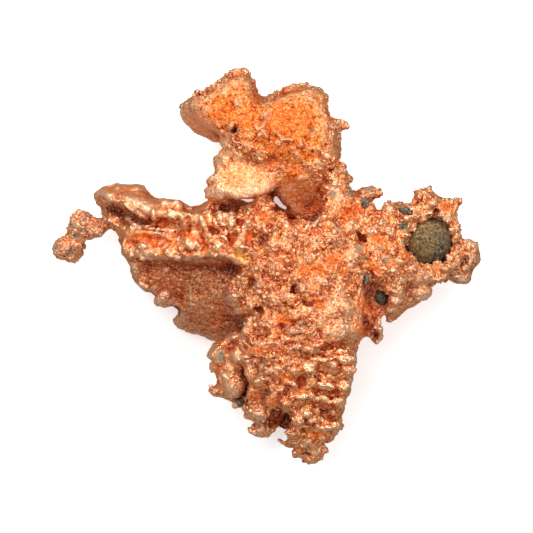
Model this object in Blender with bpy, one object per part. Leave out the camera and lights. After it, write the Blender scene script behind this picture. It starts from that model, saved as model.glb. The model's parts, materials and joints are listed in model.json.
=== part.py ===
"""Native copper nugget: one four-armed growth of metal, with a pebble and chips of its host rock.

It lies on its back. +X runs to the arm that holds the pebble, +Y to the two-peaked top arm, +Z up
to the side that is looked at. Every place and size below is in millimetres, and becomes metres
when an object is made. The origin is at the bottom centre of the nugget's box.
"""
import math
import random

import bmesh
import bpy
import numpy as np
from mathutils import Euler, Matrix, Vector, noise
from mathutils.bvhtree import BVHTree

MM = 0.001

# Driving dimensions, in millimetres unless said otherwise
VOXEL = 0.5             # cell in which the lumps of metal fuse
SKIN_TRIANGLES = 8600   # triangles kept on the metal
GRAIN_SWELL = 0.55      # height of the broad swellings of the skin
GRAIN_PITCH = 3.4       # distance between those swellings
RIM_GROWTH = 0.2        # width an outline gains, which the smoothing then takes off
BACK_REACH = 1.3        # distance that the skin of the back is pushed about
BACK_PITCH = 5.5        # distance between those pushes
BACK_TOP = 8.0          # height at which the back begins, from above
BACK_FADE = 4.0         # height over which the pushes come in
SOCKET_GAP = 0.35       # clearance round a stone in its pocket
PEBBLE_RADIUS = 4.3
PEBBLE_PLACE = (32.3, 4.9, 16.6)

# Chips of host rock: name, place from above, size along and across, turn in degrees, seed
CHIPS = [
    ("chip_notch", 23.0, -6.2, 3.6, 2.0, 100.0, 1),
    ("chip_hip", 19.6, -2.4, 2.8, 1.3, 95.0, 2),
    ("chip_slot", 27.7, 11.1, 2.8, 1.2, -20.0, 3),
    ("chip_window", 26.9, 8.1, 1.6, 1.3, 0.0, 4),
    ("chip_shoulder", 19.7, 12.6, 2.0, 1.7, 30.0, 5),
    ("chip_hook", -5.4, -26.9, 1.9, 1.6, 40.0, 6),
]
CHIP_REACH = 2.4        # depth of a chip against its width across
CHIP_CORNERS = 16       # points that a chip is broken to

# The broken lumps of the back
BACK_RIM = 2.6          # distance from the outline that they keep
BACK_LUMPS = (1.4, 2.6)  # smallest and largest radius
BACK_DEPTH = 8.5        # level of the lowest at the outline itself
BACK_SLOPE = 1.3        # fall of that level for each millimetre inwards
BACK_CLEAR = (1.0, 3.4)  # least and most room under a lump away from the outline
BACK_ROOT = 11.0        # level in the body from which they grow

COPPER = ((0.86, 0.46, 0.30), 0.35, 1.0)
PEBBLE_STONE = ((0.22, 0.18, 0.10), 0.80, 0.0)
MATRIX_STONE = ((0.16, 0.16, 0.14), 0.85, 0.0)

# Outlines of the arms seen from above, each at the widest level of its arm
TOP_ARM = [
    (-17.6, 30.9), (-16.6, 32.3), (-15.0, 33.9), (-13.8, 34.7), (-11.4, 34.9), (-11.0, 35.7),
    (-10.2, 36.7), (-8.8, 37.4), (-7.2, 38.5), (-6.2, 39.5), (-5.2, 39.7), (-4.0, 39.5),
    (-3.1, 37.9), (-2.5, 36.3), (-1.7, 34.5), (-0.8, 33.4), (0.7, 33.8), (2.2, 34.3),
    (3.4, 35.5), (4.8, 36.1), (6.0, 36.3), (9.2, 36.1), (10.4, 35.8), (11.2, 35.3),
    (11.8, 34.3), (12.2, 32.7), (12.6, 31.3), (13.6, 29.6), (15.0, 28.9), (15.0, 26.5),
    (14.6, 25.3), (14.8, 23.9), (14.6, 21.1), (15.2, 20.5), (16.0, 19.7), (16.6, 16.9),
    (17.0, 13.0), (11.0, 8.0), (6.0, 9.5), (4.4, 11.4), (3.0, 13.2), (1.9, 15.0),
    (1.6, 18.0), (-1.0, 20.5), (-6.0, 22.0), (-8.2, 23.4), (-9.0, 23.7), (-11.0, 25.5),
    (-12.2, 25.9), (-13.8, 26.4), (-16.3, 28.8),
]
FLAP = [
    (2.6, 21.5), (-2.0, 23.5), (-8.2, 23.3), (-9.4, 22.9), (-10.6, 21.7), (-10.7, 20.7),
    (-10.4, 19.3), (-10.7, 18.2), (-11.6, 17.7), (-11.9, 16.9), (-11.2, 16.3), (-10.4, 15.6),
    (-9.6, 14.6), (-8.2, 14.2), (-6.5, 13.4), (-4.5, 14.0), (-2.4, 13.8), (0.0, 14.2),
    (1.3, 15.0), (2.4, 17.5),
]
LEFT_CREST = [
    (-34.5, 13.5), (-34.6, 14.7), (-33.6, 15.3), (-32.2, 15.9), (-31.0, 15.9), (-29.8, 16.9),
    (-27.8, 16.4), (-26.0, 16.6), (-25.2, 16.3), (-23.8, 15.1), (-22.6, 14.1), (-21.4, 13.6),
    (-20.0, 13.4), (-18.8, 12.7), (-17.6, 13.3), (-16.4, 12.7), (-15.2, 12.1), (-13.2, 12.5),
    (-11.2, 13.1), (-9.0, 12.4), (-6.0, 12.6), (-3.0, 12.4), (1.2, 12.4), (4.0, 10.6),
    (4.0, 4.0), (-10.0, 4.0), (-22.0, 4.0), (-30.6, 8.8), (-32.2, 9.4), (-32.6, 12.2),
]
BROWN_WEDGE = [
    (-31.0, 8.2), (-29.6, 7.0), (-28.7, 5.0), (-29.2, 4.0), (-29.0, 2.9), (-28.4, 1.9),
    (-27.2, 1.0), (-27.0, -1.0), (-26.4, -2.0), (-26.5, -3.2), (-25.8, -3.6), (-24.5, -4.8),
    (-23.5, -5.4), (-22.4, -5.8), (-22.5, -6.6), (-21.6, -7.9), (-20.5, -8.3), (-19.6, -8.0),
    (-18.7, -8.6), (-17.8, -8.5), (-17.7, -9.3), (-18.5, -10.0), (-18.6, -10.8), (-18.0, -11.7),
    (-16.6, -12.7), (-15.1, -13.7), (-12.6, -14.3), (-10.6, -15.2), (-2.0, -15.0), (2.0, 0.0),
    (2.0, 8.0), (-12.0, 9.0),
]
LOWER_LOBES = [
    (-8.0, -14.0), (-11.2, -15.3), (-11.9, -16.3), (-12.0, -16.8), (-11.6, -17.4), (-12.0, -18.1),
    (-11.4, -18.9), (-11.8, -19.7), (-11.7, -20.7), (-9.5, -21.8), (-9.3, -23.6), (-11.5, -23.6),
    (-11.8, -24.2), (-11.0, -26.1), (-9.5, -26.3), (-8.4, -26.0), (-7.5, -26.6), (-5.4, -26.6),
    (-4.5, -27.5), (-5.0, -29.2), (-4.3, -30.3), (-3.5, -31.3), (-2.7, -31.9), (-3.1, -33.0),
    (-2.6, -33.7), (-1.5, -34.1), (0.0, -34.1), (1.5, -33.3), (2.2, -32.4), (4.6, -33.0),
    (8.0, -28.0), (4.0, -14.0),
]
BOTTOM_ARM = [
    (-4.0, -14.0), (-3.0, -24.0), (2.6, -31.0), (4.2, -33.6), (3.6, -34.8), (4.9, -36.0),
    (4.9, -37.9), (5.8, -38.1), (6.2, -37.7), (7.1, -38.4), (7.8, -39.4), (8.7, -39.7),
    (10.0, -39.4), (10.8, -38.5), (11.1, -37.8), (11.9, -37.0), (11.6, -35.4), (13.0, -35.0),
    (14.5, -33.8), (15.2, -31.5), (15.4, -29.6), (16.1, -28.0), (16.4, -26.0), (17.1, -24.4),
    (17.3, -22.4), (17.7, -19.8), (18.1, -18.6), (17.8, -17.0), (18.8, -16.0), (19.3, -14.8),
    (19.6, -10.0), (16.0, -4.0), (0.0, -4.0),
]
FANG = [
    (18.4, -8.0), (19.6, -13.6), (20.8, -14.8), (21.8, -15.4), (22.5, -15.3), (23.1, -13.8),
    (23.3, -12.0), (22.8, -11.2), (23.1, -10.2), (24.4, -9.9), (25.0, -4.0), (20.0, -2.0),
]
RIGHT_ARM = [
    (24.5, -10.1), (24.5, -11.0), (25.0, -11.1), (27.2, -9.7), (30.0, -7.9), (31.6, -7.0),
    (32.5, -5.6), (32.4, -4.4), (32.8, -3.6), (34.0, -3.3), (35.5, -3.4), (36.5, -2.9),
    (37.5, -3.1), (38.9, -3.7), (40.0, -3.2), (41.0, -2.0), (41.5, -0.6), (42.2, 0.2),
    (43.3, 0.9), (43.3, 2.0), (42.5, 4.4), (41.4, 5.2), (39.8, 4.8), (38.8, 4.8),
    (38.7, 8.0), (37.9, 9.2), (38.2, 11.6), (38.9, 12.8), (38.0, 13.9), (37.5, 13.4),
    (35.3, 13.4), (33.6, 14.5), (33.1, 15.6), (32.2, 15.6), (31.0, 15.3), (30.2, 15.5),
    (29.3, 14.2), (29.0, 12.9), (26.5, 12.9), (25.5, 12.6), (24.3, 12.9), (24.0, 11.9),
    (22.2, 11.6), (21.4, 12.7), (22.2, 13.3), (23.0, 14.0), (22.9, 15.2), (21.7, 15.9),
    (19.8, 15.8), (18.6, 16.1), (17.9, 15.0), (17.2, 15.2), (14.0, 12.0), (14.0, -8.0),
]

# Parts of the upper side that are smooth, and how much of the swelling each keeps
SMOOTH_PARTS = [
    ([(-27.4, 1.0), (-20.0, 0.6), (-12.0, 1.2), (-5.4, 0.0), (-5.2, -9.0), (-7.0, -15.4), (-19.0, -12.0),
      (-18.0, -9.0), (-23.0, -7.0), (-28.0, -1.0)], 0.15),
    (FLAP, 0.3),
    ([(-18.0, 31.0), (-13.6, 30.2), (-8.0, 26.8), (-8.0, 23.0), (-12.0, 25.0)], 0.1),
    ([(2.0, 17.0), (8.0, 18.5), (11.0, 14.0), (10.0, 8.6), (5.0, 9.6), (1.6, 15.0)], 0.1),
    ([(-35.0, 17.5), (-35.0, 13.0), (-20.0, 10.6), (-10.0, 10.0), (-10.0, 14.0), (-25.0, 18.0)], 0.45),
    ([(-16.0, 31.5), (-6.0, 37.5), (9.0, 34.0), (12.0, 27.0), (11.0, 22.0), (-6.0, 27.5)], 0.5),
]


def clear_scene():
    """Start from an empty scene."""
    for old in list(bpy.data.objects):
        bpy.data.objects.remove(old, do_unlink=True)


def material(name, finish):
    """One plain finish: colour, roughness and metallic value."""
    colour, roughness, metallic = finish
    made = bpy.data.materials.new(name)
    made.use_nodes = True
    shader = made.node_tree.nodes["Principled BSDF"]
    shader.inputs["Base Color"].default_value = (*colour, 1.0)
    shader.inputs["Roughness"].default_value = roughness
    shader.inputs["Metallic"].default_value = metallic
    made.diffuse_color = (*colour, 1.0)
    return made


class Clay:
    """Closed lumps that overlap, gathered before they are fused into one body."""

    def __init__(self):
        self.corners = []
        self.faces = []

    def take(self, part):
        """Add a finished closed part, and free it."""
        start = len(self.corners)
        part.verts.index_update()
        self.corners += [vertex.co.to_tuple() for vertex in part.verts]
        self.faces += [[start + vertex.index for vertex in face.verts] for face in part.faces]
        part.free()

    def lump(self, place, radii, turn=(0.0, 0.0, 0.0)):
        """An egg of metal: place, three radii and a turn in degrees about X, Y and Z."""
        angles = Euler([math.radians(angle) for angle in turn])
        shape = Matrix.LocRotScale(Vector(place), angles, Vector(radii))
        part = bmesh.new()
        bmesh.ops.create_icosphere(part, subdivisions=2, radius=1.0, matrix=shape)
        self.take(part)

    def lumps(self, *eggs):
        """Several upright eggs, each as x, y, z and a radius, or x, y, z and three radii."""
        for egg in eggs:
            radii = egg[3:] if len(egg) == 6 else (egg[3],) * 3
            self.lump(egg[:3], radii)

    def hull(self, *balls):
        """The tight skin round some balls, each as x, y, z and a radius."""
        part = bmesh.new()
        for x, y, z, radius in balls:
            place = Matrix.Translation((x, y, z))
            bmesh.ops.create_icosphere(part, subdivisions=2, radius=radius, matrix=place)
        points = [vertex.co.copy() for vertex in part.verts]
        part.free()
        self.tight_skin(points)

    def tight_skin(self, points):
        """The convex body round some points."""
        part = bmesh.new()
        corners = [part.verts.new(point) for point in points]
        skin = bmesh.ops.convex_hull(part, input=corners)
        inside = [item for item in skin["geom_interior"] if isinstance(item, bmesh.types.BMVert)]
        bmesh.ops.delete(part, geom=inside, context="VERTS")
        self.take(part)

    def limb(self, *balls):
        """A chain of balls with a tapered stretch between each two."""
        for first, second in zip(balls, balls[1:]):
            self.hull(first, second)

    def plate(self, outline, back, front, edge):
        """A plate with round edges. back and front give a height for each x and y."""
        part = bmesh.new()
        outline = inset(outline, -RIM_GROWTH)
        inner = inset(outline, edge)
        middle = inset(outline, edge * 0.3)
        levels = [(inner, back, 0.0), (middle, back, 0.3), (outline, back, 1.0),
                  (outline, front, -1.0), (middle, front, -0.3), (inner, front, 0.0)]
        rings = []
        for ring, height, rise in levels:
            rings.append([part.verts.new((x, y, height(x, y) + rise * edge)) for x, y in ring])
        count = len(outline)
        for lower, upper in zip(rings, rings[1:]):
            for here in range(count):
                there = (here + 1) % count
                part.faces.new((lower[here], lower[there], upper[there], upper[here]))
        caps = [part.faces.new(rings[0][::-1]), part.faces.new(rings[-1])]
        bmesh.ops.triangulate(part, faces=caps)
        bmesh.ops.recalc_face_normals(part, faces=part.faces)
        self.take(part)

    def knobs_along(self, outline, corners, low, high, size, seed):
        """Knobs of about a size along a stretch of an outline's wall, sunk so that they just reach it."""
        dice = random.Random(seed)
        for spot, inward in walk(outline, corners, size * 1.1):
            for _ in range(2):
                radius = size * dice.uniform(0.7, 1.5)
                x, y = spot + inward * radius * dice.uniform(1.1, 1.4)
                z = dice.uniform(low, high)
                radii = (radius, radius * dice.uniform(0.8, 1.1), radius * dice.uniform(0.8, 1.3))
                self.lump((x, y, z), radii)

    def body(self, name):
        """Hand the lumps over as one object."""
        mesh = bpy.data.meshes.new(name)
        mesh.from_pydata(self.corners, [], self.faces)
        return link(name, mesh)


def link(name, mesh):
    """Put a mesh in the scene."""
    made = bpy.data.objects.new(name, mesh)
    bpy.context.scene.collection.objects.link(made)
    return made


def inset(outline, depth):
    """The outline moved in by a depth, corner by corner."""
    count = len(outline)
    area = sum(outline[i][0] * outline[(i + 1) % count][1] - outline[(i + 1) % count][0] * outline[i][1]
               for i in range(count))
    side = 1.0 if area > 0 else -1.0
    ring = [Vector(corner) for corner in outline]
    for _ in range(round(depth * 2.0)):
        ring = [ring[here] * 0.5 + (ring[here - 1] + ring[(here + 1) % count]) * 0.25
                for here in range(count)]
    moved = []
    for here in range(count):
        along = (ring[(here + 1) % count] - ring[here - 1]).normalized()
        inward = Vector((-along.y, along.x)) * side
        moved.append(tuple(ring[here] + inward * depth * 0.8))
    return moved


def walk(outline, corners, pace):
    """Places a pace apart along an outline from some corners on, each with the way to its inside."""
    count = len(outline)
    inner = inset(outline, 1.0)
    spots = []
    spare = 0.0
    for here in corners:
        start = Vector(outline[here])
        stretch = Vector(outline[(here + 1) % count]) - start
        while spare < stretch.length:
            spot = start + stretch.normalized() * spare
            inwards = Vector(inner[here]).lerp(Vector(inner[(here + 1) % count]), spare / stretch.length)
            spots.append((spot, (inwards - spot).normalized()))
            spare += pace
        spare -= stretch.length
    return spots


def level(height):
    """A flat height for a plate."""
    return lambda x, y: height


def slope(height, along_x, along_y):
    """A tilted height for a plate."""
    return lambda x, y: height + along_x * x + along_y * y


def apply_modifiers(item):
    """Freeze an object's modifiers into its mesh."""
    graph = bpy.context.evaluated_depsgraph_get()
    mesh = bpy.data.meshes.new_from_object(item.evaluated_get(graph))
    item.modifiers.clear()
    old = item.data
    item.data = mesh
    bpy.data.meshes.remove(old)


def fuse(item, voxel):
    """Melt overlapping lumps into one skin."""
    melt = item.modifiers.new("fuse", "REMESH")
    melt.mode = "VOXEL"
    melt.voxel_size = voxel
    apply_modifiers(item)


def soften(item, strength, repeats):
    """Round the steps of a fused skin."""
    smooth = item.modifiers.new("soften", "SMOOTH")
    smooth.factor = strength
    smooth.iterations = repeats
    apply_modifiers(item)


def cut(item, clay, voxel=None):
    """Take the volume of some clay out of a body, fused first where its lumps overlap."""
    cutter = clay.body("cutter")
    cutter.hide_render = True
    cutter.display_type = "WIRE"
    if voxel:
        fuse(cutter, voxel)
    saw = item.modifiers.new("cut", "BOOLEAN")
    saw.operation = "DIFFERENCE"
    saw.object = cutter
    apply_modifiers(item)
    bpy.data.objects.remove(cutter, do_unlink=True)


# The metal, arm by arm

def top_arm(clay):
    """Two-peaked block whose broad sandy face looks up, over a plain sloped side at its lower left."""
    clay.plate(TOP_ARM, slope(8.5, 0.05, 0.0), level(18.5), 3.6)
    clay.knobs_along(TOP_ARM, range(4, 36), 8.0, 18.0, 1.3, 3)
    # left peak, tapered away from the sloped side
    clay.hull((-13.8, 31.8, 21.0, 1.8), (-12.0, 32.8, 21.0, 1.8), (-7.2, 35.2, 21.2, 2.2),
              (-5.3, 36.5, 20.5, 2.0), (-3.0, 30.6, 22.0, 1.9), (-2.0, 26.0, 23.5, 2.0),
              (-6.5, 27.3, 22.5, 1.8), (-10.5, 29.3, 21.5, 1.8), (-14.4, 31.0, 13.5, 2.2),
              (-9.0, 27.2, 12.5, 2.4), (-5.8, 36.4, 13.0, 2.0), (-3.0, 29.0, 12.0, 2.4),
              (-11.0, 33.0, 12.5, 2.0))
    # right peak, down to the flank
    clay.hull((3.4, 31.9, 22.0, 2.1), (9.0, 33.2, 21.5, 2.6), (11.6, 27.5, 22.8, 2.4),
              (11.6, 21.0, 22.8, 2.4), (2.6, 22.4, 22.8, 2.0), (-3.0, 26.5, 23.6, 2.0),
              (-1.4, 30.2, 22.6, 2.0), (5.2, 32.4, 12.0, 3.0), (9.4, 32.4, 12.0, 3.0),
              (11.2, 26.5, 11.0, 3.2), (11.4, 20.0, 11.0, 3.2), (3.0, 21.0, 12.0, 2.4),
              (-2.0, 28.0, 11.0, 3.0))
    # back of the block, down to where it rests
    clay.lump((4.5, 28.5, 9.2), (9.0, 7.0, 9.9), (0.0, 6.0, 20.0))
    clay.lump((-6.4, 30.6, 10.5), (6.6, 4.8, 7.0), (0.0, 12.0, 30.0))
    clay.lump((8.0, 19.0, 11.0), (6.0, 7.5, 7.6), (8.0, 0.0, -8.0))
    clay.lump((6.6, 11.8, 11.0), (4.6, 5.0, 4.6), (0.0, 0.0, -10.0))
    # floor of the chute that runs down from the right peak to the centre
    clay.hull((3.2, 19.6, 21.8, 2.2), (9.2, 20.2, 22.2, 2.4), (3.6, 14.6, 18.4, 1.7),
              (9.8, 13.8, 17.8, 2.2), (6.4, 11.2, 15.4, 2.0), (9.4, 10.2, 14.2, 2.0),
              (6.4, 14.0, 12.0, 3.0))
    # right flank beside the hollow, running down to the centre
    clay.limb((11.9, 22.0, 21.5, 2.2), (13.5, 17.5, 21.0, 2.7), (14.0, 12.5, 20.5, 3.2),
              (13.0, 9.0, 20.5, 3.6))
    clay.hull((12.4, 20.0, 12.0, 2.4), (13.6, 13.0, 10.0, 3.2), (13.6, 17.5, 21.0, 2.2),
              (12.0, 9.0, 11.0, 4.0), (13.6, 12.0, 20.5, 3.0))
    # knobs of the two peaks and the right edge
    clay.lumps((-5.2, 37.7, 17.5, 1.9), (-4.0, 36.4, 19.5, 1.3), (-7.4, 36.4, 19.5, 1.7),
               (-10.2, 34.7, 19.8, 1.6), (-13.6, 33.2, 19.0, 1.5), (-15.8, 31.6, 18.0, 1.2),
               (5.8, 34.4, 18.5, 1.8), (9.3, 34.2, 19.0, 1.7), (1.7, 32.6, 19.5, 1.3),
               (11.2, 31.0, 20.5, 1.6), (13.6, 28.3, 19.0, 1.5), (15.5, 28.4, 18.0, 0.95),
               (12.9, 24.8, 21.0, 1.5), (12.9, 22.0, 22.5, 1.4), (14.6, 18.9, 21.5, 1.7),
               (15.3, 16.6, 20.5, 1.5))


def shell_flap(clay):
    """Pale curved shell that hangs over the slit between the top and left arms."""
    def outside(x, y):
        return 25.6 - 0.32 * (y - 14.0) - 0.035 * (x + 4.0) ** 2

    clay.plate(FLAP, lambda x, y: outside(x, y) - 3.0 - 0.12 * (y - 14.0), outside, 0.8)
    clay.limb((-9.2, 21.2, 18.0, 1.3), (-5.0, 22.2, 19.5, 2.4), (1.0, 21.0, 20.5, 2.2))
    # granular saddle between the shell and the top arm
    clay.hull((-8.2, 22.8, 21.0, 1.7), (-1.6, 22.8, 22.8, 1.9), (2.0, 21.8, 22.6, 1.8),
              (-4.6, 25.6, 23.2, 1.9), (-8.4, 24.2, 20.4, 1.6), (-5.0, 23.0, 14.0, 2.0))
    clay.lumps((-6.8, 24.0, 22.8, 1.2), (-3.6, 23.8, 24.2, 1.4), (-0.9, 22.4, 24.2, 1.2),
               (-5.2, 22.2, 23.2, 1.0), (1.6, 24.2, 24.4, 1.4), (5.4, 23.2, 24.4, 1.4))
    clay.hull((-8.0, 22.0, 13.0, 1.4), (-8.0, 20.0, 18.5, 1.4), (0.0, 21.5, 13.0, 2.0),
              (-1.0, 19.5, 20.0, 1.5))
    # metal behind its lower rim, between the slit and the slanted gap
    clay.hull((-1.8, 13.4, 14.0, 1.0), (0.2, 14.2, 14.0, 1.2), (-1.2, 11.6, 12.0, 1.6),
              (0.5, 13.6, 18.6, 0.9), (-1.2, 13.0, 19.0, 1.0))
    # metal behind the dark slot at its lower left
    clay.hull((-9.0, 12.6, 12.0, 1.4), (-6.0, 12.6, 12.0, 1.0), (-9.0, 12.9, 17.0, 1.1),
              (-6.0, 12.9, 16.5, 0.7))
    clay.lumps((0.4, 13.4, 20.4, 0.9), (-0.8, 13.2, 21.0, 0.9), (0.9, 12.6, 21.4, 0.8))
    # scallops of its left rim, and the tie down to the left arm
    clay.lumps((-10.9, 17.1, 22.0, 1.1, 0.85, 1.2), (-11.6, 15.0, 21.2, 1.1, 1.1, 1.3),
               (-9.9, 21.2, 21.0, 1.0), (-9.2, 14.2, 22.0, 1.2, 0.9, 1.5),
               (-7.8, 13.6, 22.6, 1.1, 0.8, 1.3), (-9.3, 12.9, 20.5, 1.1), (-11.3, 13.4, 19.6, 1.2))


def left_arm(clay):
    """Smooth ledge along the crest, a groove under it, and a knobbly band above the brown face."""
    clay.plate(LEFT_CREST, level(7.0), level(17.5), 3.0)
    clay.knobs_along(LEFT_CREST, range(1, 19), 8.0, 16.0, 1.2, 5)
    clay.hull((-30.5, 14.2, 14.0, 1.4), (-26.0, 13.8, 14.5, 1.6), (-20.0, 10.4, 15.0, 1.8),
              (-13.0, 9.2, 15.0, 2.0), (-13.0, 9.4, 21.0, 1.5), (-20.5, 10.0, 20.5, 1.4),
              (-27.5, 13.0, 19.2, 1.3), (-31.5, 13.9, 17.5, 1.1), (-24.0, 9.0, 14.0, 2.5),
              (-30.0, 10.6, 13.0, 2.2))
    clay.limb((-33.5, 14.4, 15.5, 1.0), (-30.5, 13.9, 17.8, 1.1), (-27.0, 12.6, 19.6, 1.2),
              (-24.2, 11.2, 20.6, 1.3), (-20.8, 10.4, 21.4, 1.3), (-17.0, 10.2, 21.8, 1.3),
              (-13.0, 9.6, 22.0, 1.4))
    clay.lumps((-29.4, 15.0, 15.5, 1.7), (-25.6, 14.6, 16.0, 1.8), (-21.6, 12.2, 17.5, 1.3),
               (-17.6, 11.7, 18.0, 1.4), (-13.4, 11.0, 19.0, 1.3), (-10.8, 11.4, 19.5, 1.4),
               (-33.1, 14.2, 14.0, 1.3))
    # back of the arm and its foot
    clay.hull((-28.4, 10.4, 10.0, 2.8), (-26.0, 5.8, 9.5, 2.5), (-15.0, 6.5, 9.5, 5.0),
              (-4.0, 6.0, 9.5, 5.0), (-27.0, 9.6, 15.0, 2.4), (-12.0, 8.0, 17.0, 3.0),
              (-24.0, 4.0, 15.0, 3.0), (-8.0, 3.0, 18.0, 3.0))
    clay.lump((-20.6, 5.5, 9.0), (9.2, 6.8, 9.7), (0.0, 4.0, 10.0))
    clay.lump((-9.0, 4.0, 9.0), (9.0, 8.0, 7.0))
    # knobbly band and its lower rim
    clay.limb((-28.7, 7.2, 16.5, 1.2), (-27.0, 6.8, 19.0, 1.5), (-24.0, 7.4, 20.0, 1.3),
              (-20.5, 7.0, 20.4, 1.5))
    clay.limb((-28.0, 3.4, 18.0, 1.6), (-24.5, 2.8, 20.0, 1.6), (-20.5, 2.6, 21.0, 1.6),
              (-16.0, 3.0, 22.0, 1.7), (-11.5, 3.2, 22.6, 1.8), (-7.5, 2.6, 23.2, 1.7),
              (-4.0, 1.2, 23.6, 1.7))
    clay.lumps((-18.4, 5.8, 21.0, 1.6), (-15.6, 5.2, 22.4, 2.0, 1.5, 1.5),
               (-12.6, 6.6, 22.4, 1.4, 2.0, 1.5), (-16.4, 8.4, 20.6, 1.7),
               (-13.4, 8.6, 21.8, 1.3, 1.9, 1.4), (-9.4, 5.2, 23.6, 2.0, 1.3, 1.6),
               (-22.4, 10.2, 20.2, 0.9, 1.7, 1.2), (-30.8, 9.8, 15.4, 1.3, 1.4, 1.6),
               (-31.6, 10.8, 14.0, 1.4), (-17.0, 2.4, 22.4, 1.1), (-22.6, 1.9, 20.6, 1.2),
               (-13.6, 2.2, 22.6, 1.1))
    # swellings that tie the band to the centre
    clay.lumps((-7.6, 8.8, 23.0, 2.0, 2.6, 2.2), (-10.4, 9.4, 21.6, 1.5, 2.2, 1.8),
               (-3.2, 9.4, 23.6, 1.6, 2.4, 1.8), (-5.6, 4.4, 24.0, 1.7), (-4.6, 6.8, 24.6, 1.2, 2.2, 1.4),
               (-2.0, 3.0, 25.0, 1.8, 1.3, 1.5), (-1.6, 12.6, 22.0, 1.4), (0.2, 12.2, 22.5, 1.0),
               (-4.4, 11.4, 21.6, 1.7, 1.0, 1.5), (0.6, 10.0, 24.0, 1.4, 1.9, 1.5),
               (2.6, 8.4, 25.0, 1.4, 2.0, 1.4), (-0.6, 7.6, 24.6, 1.3, 1.6, 1.4))
    clay.hull((-10.0, 8.0, 18.0, 3.0), (2.0, 8.0, 20.0, 3.2), (2.0, 2.0, 21.0, 3.0),
              (-9.0, 3.0, 19.5, 2.4))


def brown_face(clay):
    """Broad flat face that falls from the band to the lower left edge."""
    def face(x, y):
        return min(25.4 + 0.277 * x + 1.04 * y, 19.0 + 0.08 * x)

    clay.plate(BROWN_WEDGE, lambda x, y: 0.62 * face(x, y) - 1.0, face, 0.9)
    clay.lump((-20.9, -6.9, 9.6), (1.6, 1.3, 1.4), (0.0, 0.0, -35.0))
    clay.lumps((-17.6, -10.6, 7.6, 1.2), (-18.6, -8.2, 8.6, 0.8), (-28.2, 3.6, 15.6, 1.1))
    clay.lump((-13.0, -2.5, 7.0), (10.0, 7.5, 5.2), (-18.0, 12.0, -30.0))
    clay.lump((-8.0, -9.0, 6.0), (7.0, 5.0, 3.6), (-12.0, 0.0, -20.0))


def far_left_bead(clay):
    """Granular double bead on a thin neck at the far left."""
    clay.limb((-31.2, 9.0, 12.5, 1.3), (-32.2, 8.0, 12.2, 1.0), (-33.6, 7.2, 11.6, 1.6),
              (-35.4, 7.4, 11.0, 2.2))
    clay.lumps((-36.9, 8.6, 11.0, 2.8, 2.8, 2.8), (-38.3, 7.4, 10.6, 1.8, 2.2, 2.4),
               (-35.6, 7.2, 10.6, 2.1), (-37.3, 10.4, 11.0, 1.5), (-38.5, 9.9, 11.2, 1.2),
               (-35.2, 9.2, 11.6, 1.5), (-40.4, 4.1, 9.6, 2.4, 2.3, 2.5), (-38.6, 4.2, 10.0, 2.4),
               (-38.7, 2.1, 9.2, 1.6, 1.9, 1.7), (-37.0, 4.2, 9.8, 1.4), (-36.8, 3.0, 9.6, 0.9),
               (-40.8, 3.0, 9.0, 1.6), (-42.0, 3.5, 9.6, 0.9), (-40.6, 5.4, 10.2, 1.1),
               (-37.6, 5.8, 10.4, 1.8))


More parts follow.
